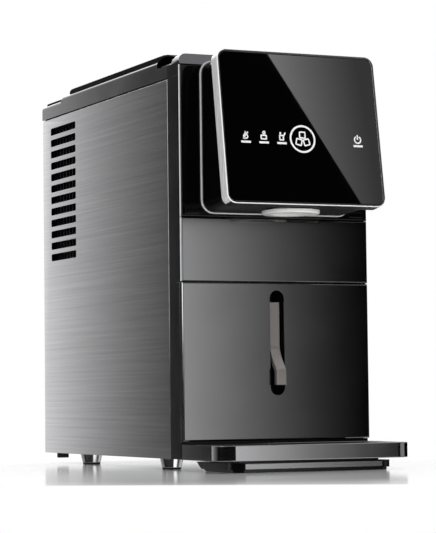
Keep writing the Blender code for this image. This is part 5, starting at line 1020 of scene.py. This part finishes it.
    def hollow_out(self, bm: bmesh.types.BMesh, stroke: float) -> None:
        """Leave only a border of a flat face.

        Args:
            bm: The flat shape.
            stroke: Width of the border.
        """
        middle = bm.faces[:]
        bmesh.ops.inset_region(bm, faces=middle, thickness=stroke, use_even_offset=True,
                               use_boundary=True)
        bmesh.ops.delete(bm, geom=middle, context="FACES")

    def disc(self, hoop: Hoop, x: float, z: float) -> bmesh.types.BMesh:
        """Start a hoop as a flat round face in x and z.

        Args:
            hoop: The hoop.
            x: Its middle, across.
            z: Its middle, up.

        Returns:
            The face as a bmesh.
        """
        bm = bmesh.new()
        turn = Matrix.Translation((x, 0, z)) @ Matrix.Rotation(math.pi / 2, 4, "X")
        bmesh.ops.create_circle(bm, cap_ends=True, radius=hoop.radius, segments=hoop.sides, matrix=turn)
        return bm

    def draw_hoop(self, hoop: Hoop, x: float, z: float) -> None:
        """Print a hoop.

        Args:
            hoop: What is printed.
            x: The symbol's place.
            z: The symbol's line.
        """
        bm = self.disc(hoop, x + hoop.across, z + hoop.up)
        self.hollow_out(bm, hoop.stroke)
        self.print_on_glass(bm, hoop.name)

    def draw_bar(self, bar: Bar, x: float, z: float) -> None:
        """Print a bar or a frame.

        Args:
            bar: What is printed.
            x: The symbol's place.
            z: The symbol's line.
        """
        bm = bmesh.new()
        place = (Matrix.Translation((x + bar.across, 0, z + bar.up))
                 @ Matrix.Rotation(math.radians(bar.turn_degrees), 4, "Y")
                 @ Matrix.Rotation(math.pi / 2, 4, "X") @ Matrix.Diagonal((bar.width, bar.height, 1, 1)))
        bmesh.ops.create_grid(bm, x_segments=1, y_segments=1, size=0.5, matrix=place)
        if bar.corner:
            bmesh.ops.bevel(bm, geom=bm.verts[:], offset=bar.corner, offset_type="OFFSET", profile=0.5,
                            segments=bar.corner_steps, affect="VERTICES", clamp_overlap=True, material=-1)
        if bar.stroke:
            self.hollow_out(bm, bar.stroke)
        self.print_on_glass(bm, bar.name)

    def make_ring(self) -> None:
        """Make the ring symbol with its three frames."""
        self.draw_hoop(self.ring, self.ring_place, self.ring_line)
        for cube in self.cubes:
            self.draw_bar(cube, self.ring_place, self.ring_line)

    def make_status_symbols(self) -> None:
        """Make the drop, basket and bottle symbols, as plain outlines."""
        drop_x, basket_x, bottle_x = self.symbol_places
        bm = self.disc(self.drop, 0, 0)
        for vert in bm.verts:
            if vert.co.z > 0:
                vert.co.x *= max(self.drop_tip, 1 - vert.co.z / self.drop.radius) ** self.drop_taper
                vert.co.z *= self.drop_stretch
        self.hollow_out(bm, self.drop.stroke)
        bmesh.ops.translate(bm, vec=(drop_x, 0, self.symbol_line + self.drop.up), verts=bm.verts)
        self.print_on_glass(bm, self.drop.name)
        self.draw_bar(self.drop_slash, drop_x, self.symbol_line)
        self.draw_bar(self.basket, basket_x, self.symbol_line)
        self.draw_hoop(self.basket_ice, basket_x, self.symbol_line)
        for bar in self.bottle:
            self.draw_bar(bar, bottle_x, self.symbol_line)

    def make_power_symbol(self) -> None:
        """Make the power symbol: an open ring and an upright bar."""
        bm = self.disc(self.power_ring, 0, 0)
        self.hollow_out(bm, self.power_ring.stroke)
        gap = [face for face in bm.faces
               if face.calc_center_median().z > 0 and abs(face.calc_center_median().x) < self.power_gap]
        bmesh.ops.delete(bm, geom=gap, context="FACES")
        bmesh.ops.translate(bm, vec=(self.power_place, 0, self.symbol_line), verts=bm.verts)
        self.print_on_glass(bm, self.power_ring.name)
        self.draw_bar(self.power_bar, self.power_place, self.symbol_line)

    def make_marks(self) -> None:
        """Make the plain light marks under the symbols."""
        for number, x in enumerate((*self.symbol_places, self.power_place)):
            self.draw_bar(Bar(f"mark_{number}", 0.0, 0.0, *self.mark_size), x, self.mark_line)


@dataclass
class IceOutlet(SubAssembly):
    """The white nozzle, and the chute, gate and motor above it.

    Attributes:
        nodes: The nodes and their rounding.
        bore: Radius of the nozzle's bore.
        collar_radius: Radius of the collar that holds it.
        flange_height: Height of its wide end.
        edge: Rounding of the mouth.
        mouth_steps: Steps across that rounding.
        sides: Sides of its round.
    """

    nodes: dict[str, float] = field(default_factory=lambda: {
        "ice_chute": 0.3 * MM, "ice_gate": 0.3 * MM, "gate_pin": 0.0, "gate_motor": 0.3 * MM})
    bore: float = 20.5 * MM
    collar_radius: float = 23.0 * MM
    flange_height: float = 4.0 * MM
    edge: float = 1.6 * MM
    mouth_steps: int = 4
    sides: int = 96

    def build(self) -> None:
        """Make the nozzle ring and refine the rest."""
        super().build()
        low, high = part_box("nozzle_ring")
        centre = ((low.x + high.x) / 2, (low.y + high.y) / 2)
        radius = (high.x - low.x) / 2
        flange = low.z + self.flange_height
        section = [(self.bore, low.z), (radius, low.z), (radius, flange), (self.collar_radius, flange),
                   (self.collar_radius, high.z), (self.bore, high.z)]
        bm = turned(section, centre, self.sides, closed=True)
        round_edges(bm, self.edge, self.mouth_steps,
                    lambda edge: lies_at(edge, 2, low.z) and edge.calc_face_angle() > CORNER_TURN)
        make_piece(bm, "nozzle_ring_fine", [SLOT_FINISHES["nozzle_white"]], "case",
                   ["nozzle_ring"])


@dataclass
class CupLever(SubAssembly):
    """The cup lever in its channel, with its pin, spring and switch.

    Attributes:
        nodes: The nodes and their rounding.
    """

    nodes: dict[str, float] = field(default_factory=lambda: {
        "dispense_lever": 0.9 * MM, "lever_pin": 0.0, "lever_spring": 0.0, "lever_channel": 0.3 * MM,
        "lever_switch": 0.3 * MM, "switch_plunger": 0.2 * MM})


@dataclass
class DripTray(SubAssembly):
    """The drip tray with its grate, and the base under it with its light strip.

    Attributes:
        nodes: The nodes and their rounding.
        corner: Radius of the tray's front corners.
        corner_steps: Steps round a corner.
        rim: Width of the rim.
        ledge: Width of the ledge that carries the grate.
        seat: Depth of the ledge under the rim.
        floor: Thickness of the tray's floor.
        edge: Rounding of the rim and the bottom.
        rim_steps: Steps across that rounding.
        groove: Nearest and farthest depth of the base's groove behind its front.
    """

    nodes: dict[str, float] = field(default_factory=lambda: {
        "drip_grate": 0.4 * MM, "tray_base": 0.3 * MM})
    corner: float = 19.3 * MM
    corner_steps: int = 18
    rim: float = 1.8 * MM
    ledge: float = 3.5 * MM
    seat: float = 3.5 * MM
    floor: float = 2.5 * MM
    edge: float = 0.8 * MM
    rim_steps: int = 3
    groove: tuple[float, float] = (0.5 * MM, 1.5 * MM)

    def build(self) -> None:
        """Make the tray and refine the rest."""
        super().build()
        low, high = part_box("drip_tray")
        bm = block(low, high)
        round_edges(bm, self.corner, self.corner_steps,
                    lambda edge: runs_along(edge, 2) and lies_at(edge, 1, low.y))
        sink(bm, face_at(bm, 2, high.z), self.rim, (0, 0, -self.seat))
        depth = high.z - low.z - self.floor - self.seat
        sink(bm, face_at(bm, 2, high.z - self.seat), self.ledge, (0, 0, -depth))
        round_edges(bm, self.edge, self.rim_steps,
                    lambda edge: (lies_at(edge, 2, low.z) or lies_at(edge, 2, high.z))
                    and edge.calc_face_angle() > CORNER_TURN
                    and max(vert.co.y for vert in edge.verts) < high.y - MERGE)
        make_piece(bm, "drip_tray_fine", [SLOT_FINISHES["tray_grey"]], self.body_of("drip_tray"),
                   ["drip_tray"])

    def paint(self, bm: bmesh.types.BMesh, node: str) -> Sequence[Finish]:
        """Set a satin strip in the groove of the base.

        Args:
            bm: The node's copy.
            node: The CAD node.

        Returns:
            The strip's finish.
        """
        if node != "tray_base":
            return []
        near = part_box(node)[0].y
        for face in bm.faces:
            set_back = face.calc_center_median().y - near
            face.material_index = int(face.normal.y < -SQUARE and self.groove[0] < set_back < self.groove[1])
        return [BASE_STRIP]


@dataclass
class Feet(SubAssembly):
    """Four plated feet with black pads.

    Attributes:
        nodes: None, because every foot is turned here.
        pad_height: Height of a pad.
        pad_inset: How far a pad stays inside its shell.
        lip: Rounding of the edges.
        taper: Lower radius as a share of the upper one.
        shell_sides: Sides of a shell's round.
        pad_sides: Sides of a pad's round.
    """

    pad_height: float = 2.2 * MM
    pad_inset: float = 0.3 * MM
    lip: float = 0.2 * MM
    taper: float = 0.82
    shell_sides: int = 72
    pad_sides: int = 48

    def build(self) -> None:
        """Turn each foot's shell and pad."""
        for row in ("front", "rear"):
            for side in ("left", "right"):
                self.make_foot(f"foot_{row}_{side}")

    def make_foot(self, node: str) -> None:
        """Make one foot.

        Args:
            node: The foot's CAD node.
        """
        low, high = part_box(node)
        centre = ((low.x + high.x) / 2, (low.y + high.y) / 2)
        top = (high.x - low.x) / 2
        bottom = top * self.taper
        pad = low.z + self.pad_height
        shell = [(0, pad), (bottom - self.lip, pad), (bottom, pad + self.lip),
                 (top - self.lip, high.z - self.lip), (top - self.lip, high.z), (0, high.z)]
        make_piece(turned(shell, centre, self.shell_sides), f"{node}_shell", [SLOT_FINISHES["foot_metal"]],
                   "case", [node])
        under = bottom - self.pad_inset
        rubber = [(0, low.z), (under - self.lip, low.z), (under, low.z + self.lip), (under, pad + self.lip),
                  (0, pad + self.lip)]
        make_piece(turned(rubber, centre, self.pad_sides), f"{node}_pad", [SLOT_FINISHES["seal_rubber"]],
                   "case")


@dataclass
class InnerWorks(SubAssembly):
    """Everything that the case hides: ice store, ice barrel, water side, cooling side and electrics.

    Attributes:
        nodes: The nodes and their rounding.
    """

    nodes: dict[str, float] = field(default_factory=lambda: {
        "ice_bin": 0.5 * MM, "bin_auger": 0.2 * MM, "bin_motor": 0.5 * MM, "freezing_barrel": 0.5 * MM,
        "ice_auger": 0.2 * MM, "extruder_head": 0.5 * MM, "gear_motor": 0.5 * MM, "water_tank": 0.5 * MM,
        "tank_float": 0.8 * MM, "water_pump": 0.5 * MM, "water_hose": 0.0, "drain_plug": 0.4 * MM,
        "compressor": 0.8 * MM, "compressor_pad": 0.5 * MM, "hot_gas_pipe": 0.0, "suction_pipe": 0.0,
        "condenser": 0.0, "fan_shroud": 0.4 * MM, "fan_rotor": 0.2 * MM, "fan_motor": 0.4 * MM,
        "power_board": 0.2 * MM, "power_inlet": 0.4 * MM})


@dataclass
class SoftCard:
    """A flat softbox that lights the machine and shows in its gloss.

    Attributes:
        name: Its name.
        centre: Its middle.
        size: Width and height.
        facing: Point that it faces.
        strength: Brightness at its two ends, along the axis.
        axis: Direction of the gradient, 0 for x, 1 for y or 2 for z.
        span: Where the gradient starts and ends along that axis.
        power: Curve of the gradient.
        turn_degrees: How far the card is turned in its own plane.
        shown_in_gloss: Whether glossy surfaces mirror it.
    """

    name: str
    centre: tuple[float, float, float]
    size: tuple[float, float]
    facing: tuple[float, float, float]
    strength: tuple[float, float]
    axis: int = 0
    span: tuple[float, float] = (-1.0, 1.0)
    power: float = 1.0
    turn_degrees: float = 0.0
    shown_in_gloss: bool = True

    def build(self) -> bpy.types.Object:
        """Make the card.

        Returns:
            The staged object.
        """
        bm = bmesh.new()
        way = (Vector(self.facing) - Vector(self.centre)).to_track_quat("Z", "Y").to_matrix().to_4x4()
        place = (Matrix.Translation(self.centre) @ way
                 @ Matrix.Rotation(math.radians(self.turn_degrees), 4, "Z")
                 @ Matrix.Diagonal((self.size[0] / 2, self.size[1] / 2, 1, 1)))
        bmesh.ops.create_grid(bm, x_segments=1, y_segments=1, size=1, matrix=place)
        mesh = bpy.data.meshes.new(self.name)
        bm.to_mesh(mesh)
        bm.free()
        card = bpy.data.objects.new(self.name, mesh)
        bpy.context.scene.collection.objects.link(card)
        mesh.materials.append(self.material())
        card.visible_camera = False
        card.visible_shadow = False
        card.visible_glossy = self.shown_in_gloss
        return card

    def material(self) -> bpy.types.Material:
        """Make the card's gradient glow, on the side that it faces.

        Returns:
            The new material.
        """
        material = bpy.data.materials.new(self.name)
        material.use_nodes = True
        tree = material.node_tree
        tree.nodes.clear()
        place = add_node(tree, "ShaderNodeTexCoord")
        parts = add_node(tree, "ShaderNodeSeparateXYZ", links={0: place.outputs["Object"]})
        start, end = (value ** (1 / self.power) for value in self.strength)
        ramp = add_node(tree, "ShaderNodeMapRange",
                        {"From Min": self.span[0], "From Max": self.span[1], "To Min": start, "To Max": end},
                        {"Value": parts.outputs[self.axis]})
        curve = add_node(tree, "ShaderNodeMath", {1: self.power}, {0: ramp.outputs["Result"]},
                         operation="POWER")
        back = add_node(tree, "ShaderNodeNewGeometry").outputs["Backfacing"]
        front = add_node(tree, "ShaderNodeMath", {0: 1.0}, {1: back}, operation="SUBTRACT")
        glow = add_node(tree, "ShaderNodeMath", links={0: curve.outputs[0], 1: front.outputs[0]},
                        operation="MULTIPLY")
        shine = add_node(tree, "ShaderNodeEmission", {"Color": WHITE}, {"Strength": glow.outputs[0]})
        add_node(tree, "ShaderNodeOutputMaterial", links={"Surface": shine.outputs[0]})
        return material


@dataclass
class Studio:
    """Floor, light and camera.

    Attributes:
        camera_place: The camera's place.
        yaw_degrees: How far it looks to the right of +Y.
        pitch_degrees: How far it looks up.
        roll_degrees: How far the picture is turned.
        focal_pixels: Focal length in pixels of the photograph.
        long_side: The photograph's long side in pixels.
        sensor: Sensor width in millimetres.
        room_light: Brightness of the room for everything but gloss and the camera.
        glow: Brightness of the room in gloss, inside the glow zones.
        glow_zones: Parts of the room that glow. Each is a product of ramps, and each ramp gives an axis of
            the direction, where it starts and where it is full.
        floor_radius: Radius of the floor.
        floor_sides: Sides of its round.
        floor_drop: How far it lies under the feet.
        floor_colour: sRGB hex colour of the floor.
        floor_roughness: Roughness of the floor.
        floor_edge_way: Direction across the line where the floor turns white in front of the machine.
        floor_edge: Place of that line along the direction.
        floor_fade: Width of that line.
        floor_reach: Distances from the middle between which the floor turns white.
        cards: The softboxes.
    """

    camera_place: tuple[float, float, float] = (-1.02923, -2.26786, 0.07862)
    yaw_degrees: float = 24.55
    pitch_degrees: float = 3.36
    roll_degrees: float = 0.655
    focal_pixels: float = 2199.5
    long_side: float = 533.0
    sensor: float = 36.0
    room_light: float = 0.9
    glow: float = 0.6
    glow_zones: tuple[tuple[tuple[int, float, float], ...], ...] = (
        ((0, 0.05, 0.5), (1, -0.55, -0.1), (2, 0.12, 0.25)),
        ((0, 0.05, 0.5), (1, -0.55, -0.1), (2, -0.13, -0.17)),
        ((2, 0.45, 0.75),), ((2, -0.5, -0.7),),
        ((0, -0.5, -0.7), (2, 0.14, 0.26)),
        ((0, -0.5, -0.7), (1, 0.1, -0.1), (2, -0.08, -0.16), (2, -0.37, -0.31)),
        ((0, 0.15, -0.05), (1, -0.3, -0.6), (2, -0.08, -0.16), (2, -0.37, -0.31)),
        ((1, 0.2, 1.2), (2, -0.12, -0.3)),
        ((0, -0.1, 0.1), (1, -0.5, -0.8), (2, -0.08, -0.16)))
    floor_radius: float = 6.0
    floor_sides: int = 64
    floor_drop: float = 0.2 * MM
    floor_colour: str = "#d8d8d8"
    floor_roughness: float = 0.12
    floor_edge_way: tuple[float, float, float] = (0.565, 0.825, 0.0)
    floor_edge: float = -0.512
    floor_fade: float = 0.03
    floor_reach: tuple[float, float] = (0.42, 0.80)
    cards: list[SoftCard] = field(default_factory=lambda: [
        SoftCard("front_softbox", (0.59, FRONT - 1.2, 0.12), (0.52, 0.50), (0.59, 0.0, 0.12),
                 (1.42, 0.0), 0, (0.40, 0.805), 2.3),
        SoftCard("rear_left_softbox", (-0.425, 1.05, 0.30), (0.55, 1.1), (-0.425, 0.0, 0.30),
                 (0.057, 1.80), 0, (-0.70, -0.36), 8.0),
        SoftCard("low_left_softbox", (-1.0, 0.49, -0.02), (1.46, 0.16), (0.0, 0.49, -0.02),
                 (0.0, 1.1), 1, (-0.24, 1.22), 1.0),
        SoftCard("low_right_softbox", (1.2, -0.85, -0.02), (0.9, 0.16), (0.0, -0.85, -0.02), (0.5, 0.5)),
        SoftCard("foot_softbox", (0.35, -1.365, -0.5), (0.9, 0.5), (0.35, 0.0, -0.5), (1.8, 1.8)),
        SoftCard("foot_grey_card", (-0.05, 0.30, -0.13), (0.6, 0.25), (-0.05, -1.0, -0.13), (0.3, 0.3)),
        SoftCard("nozzle_fill", (-0.12, -0.78, 0.04), (0.5, 0.25), (0.0, -0.2, 0.27), (4.5, 4.5),
                 shown_in_gloss=False),
        SoftCard("rear_top_softbox", (0.15, 1.25, 1.0), (1.5, 0.8), (0.0, 0.0, 0.4), (2.5, 2.5)),
        SoftCard("left_softbox", (-1.5, -0.80, 0.72), (0.5, 1.08), (0.0, -0.80, 0.72), (1.5, 1.5)),
        SoftCard("top_softbox", (0.70, -0.36, 1.90), (1.0, 0.88), (0.70, -0.36, 0.0), (1.6, 1.6)),
        SoftCard("glass_softbox", (0.7905, -1.415, 0.976), (0.25, 0.50), (0.7905, 0.0, 0.976),
                 (3.8, 0.8), 0, (0.617, 0.784), 2.0, -25.9),
        SoftCard("floor_backdrop", (1.5, 3.0, 0.25), (3.4, 0.5), (1.5, 0.0, 0.25), (1.12, 1.12)),
    ])

    def build(self) -> None:
        """Make the stage and the camera."""
        self.make_camera()
        self.make_world()
        self.make_floor()
        for card in self.cards:
            card.build()
        bpy.context.scene.view_settings.view_transform = "Standard"

    def make_camera(self) -> None:
        """Stand the camera where the photograph was taken from."""
        data = bpy.data.cameras.new("photo_camera")
        data.sensor_width = self.sensor
        data.lens = self.focal_pixels / self.long_side * self.sensor
        camera = bpy.data.objects.new("photo_camera", data)
        bpy.context.scene.collection.objects.link(camera)
        turn = (Matrix.Rotation(math.radians(-self.yaw_degrees), 4, "Z")
                @ Matrix.Rotation(math.radians(90 + self.pitch_degrees), 4, "X")
                @ Matrix.Rotation(math.radians(-self.roll_degrees), 4, "Z"))
        camera.matrix_world = Matrix.Translation(self.camera_place) @ turn
        bpy.context.scene.camera = camera

    def make_world(self) -> None:
        """Make the room: white for the camera, even for matt faces, and glowing in zones for gloss."""
        world = bpy.data.worlds.new("studio")
        bpy.context.scene.world = world
        world.use_nodes = True
        tree = world.node_tree
        tree.nodes.clear()
        path = add_node(tree, "ShaderNodeLightPath")
        even = add_node(tree, "ShaderNodeBackground", {"Color": WHITE, "Strength": self.room_light})
        parts = add_node(tree, "ShaderNodeSeparateXYZ",
                         links={0: add_node(tree, "ShaderNodeTexCoord").outputs["Generated"]})
        brightest = None
        for zone in self.glow_zones:
            share = None
            for axis, start, full in zone:
                ramp = add_node(tree, "ShaderNodeMapRange",
                                {"From Min": start, "From Max": full, "To Min": 0.0, "To Max": 1.0},
                                {"Value": parts.outputs[axis]}, interpolation_type="SMOOTHSTEP")
                share = self.join(tree, share, ramp.outputs["Result"], "MULTIPLY")
            brightest = self.join(tree, brightest, share, "MAXIMUM")
        strength = add_node(tree, "ShaderNodeMath", {1: self.glow}, {0: brightest}, operation="MULTIPLY")
        gloss = add_node(tree, "ShaderNodeBackground", {"Color": WHITE}, {"Strength": strength.outputs[0]})
        white = add_node(tree, "ShaderNodeBackground", {"Color": WHITE, "Strength": 1.0})
        lit = add_node(tree, "ShaderNodeMixShader",
                       links={0: path.outputs["Is Glossy Ray"], 1: even.outputs[0], 2: gloss.outputs[0]})
        seen = add_node(tree, "ShaderNodeMixShader",
                        links={0: path.outputs["Is Camera Ray"], 1: lit.outputs[0], 2: white.outputs[0]})
        add_node(tree, "ShaderNodeOutputWorld", links={"Surface": seen.outputs[0]})

    def join(self, tree: bpy.types.NodeTree, first: bpy.types.NodeSocket | None,
             second: bpy.types.NodeSocket, operation: str) -> bpy.types.NodeSocket:
        """Join two values, where the first may still be missing.

        Args:
            tree: The node tree.
            first: The value so far.
            second: The value that comes in.
            operation: How they are joined.

        Returns:
            The joined value.
        """
        if first is None:
            return second
        return add_node(tree, "ShaderNodeMath", links={0: first, 1: second}, operation=operation).outputs[0]

    def make_floor(self) -> None:
        """Make a pale glossy floor that turns white away from the machine."""
        bm = bmesh.new()
        bmesh.ops.create_circle(bm, cap_ends=True, radius=self.floor_radius, segments=self.floor_sides)
        bmesh.ops.translate(bm, vec=(0, 0, -self.floor_drop), verts=bm.verts)
        mesh = bpy.data.meshes.new("floor")
        bm.to_mesh(mesh)
        bm.free()
        floor = bpy.data.objects.new("floor", mesh)
        bpy.context.scene.collection.objects.link(floor)
        mesh.materials.append(self.floor_material())

    def floor_material(self) -> bpy.types.Material:
        """Make the floor's lacquer, which the camera sees turn white with distance and gloss looks through.

        Returns:
            The new material.
        """
        material = bpy.data.materials.new("floor_lacquer")
        material.use_nodes = True
        tree = material.node_tree
        shader = tree.nodes["Principled BSDF"]
        shader.inputs["Base Color"].default_value = linear(self.floor_colour)
        shader.inputs["Roughness"].default_value = self.floor_roughness
        path = add_node(tree, "ShaderNodeLightPath")
        place = add_node(tree, "ShaderNodeTexCoord").outputs["Object"]
        along = add_node(tree, "ShaderNodeVectorMath", {1: self.floor_edge_way}, {0: place},
                         operation="DOT_PRODUCT")
        reach = add_node(tree, "ShaderNodeVectorMath", links={0: place}, operation="LENGTH")
        past_edge, far_out = (
            add_node(tree, "ShaderNodeMapRange",
                     {"From Min": start, "From Max": end, "To Min": 0.0, "To Max": 1.0},
                     {"Value": distance.outputs["Value"]}, interpolation_type="SMOOTHSTEP").outputs["Result"]
            for distance, start, end in ((along, self.floor_edge, self.floor_edge - self.floor_fade),
                                         (reach, *self.floor_reach)))
        outside = add_node(tree, "ShaderNodeMath", links={0: past_edge, 1: far_out}, operation="MAXIMUM")
        seen = add_node(tree, "ShaderNodeMath",
                        links={0: path.outputs["Is Camera Ray"], 1: outside.outputs[0]}, operation="MULTIPLY")
        white = add_node(tree, "ShaderNodeEmission", {"Color": WHITE, "Strength": 1.0})
        faded = add_node(tree, "ShaderNodeMixShader",
                         links={0: seen.outputs[0], 1: shader.outputs[0], 2: white.outputs[0]})
        clear = add_node(tree, "ShaderNodeBsdfTransparent", {"Color": WHITE})
        mixed = add_node(tree, "ShaderNodeMixShader",
                         links={0: path.outputs["Is Glossy Ray"], 1: faded.outputs[0], 2: clear.outputs[0]})
        tree.links.new(mixed.outputs[0], tree.nodes["Material Output"].inputs["Surface"])
        return material


def main() -> None:
    """Build and dress the machine from the outside in."""
    logging.basicConfig(level=logging.INFO, format="%(message)s")
    Studio().build()
    for group in (CaseShell(), FrontPanels(), TopAndLid(), Neck(), ControlHead(), IceOutlet(), CupLever(),
                  DripTray(), Feet(), InnerWorks()):
        LOG.info("building %s", type(group).__name__)
        group.build()


if __name__ == "__main__":
    main()
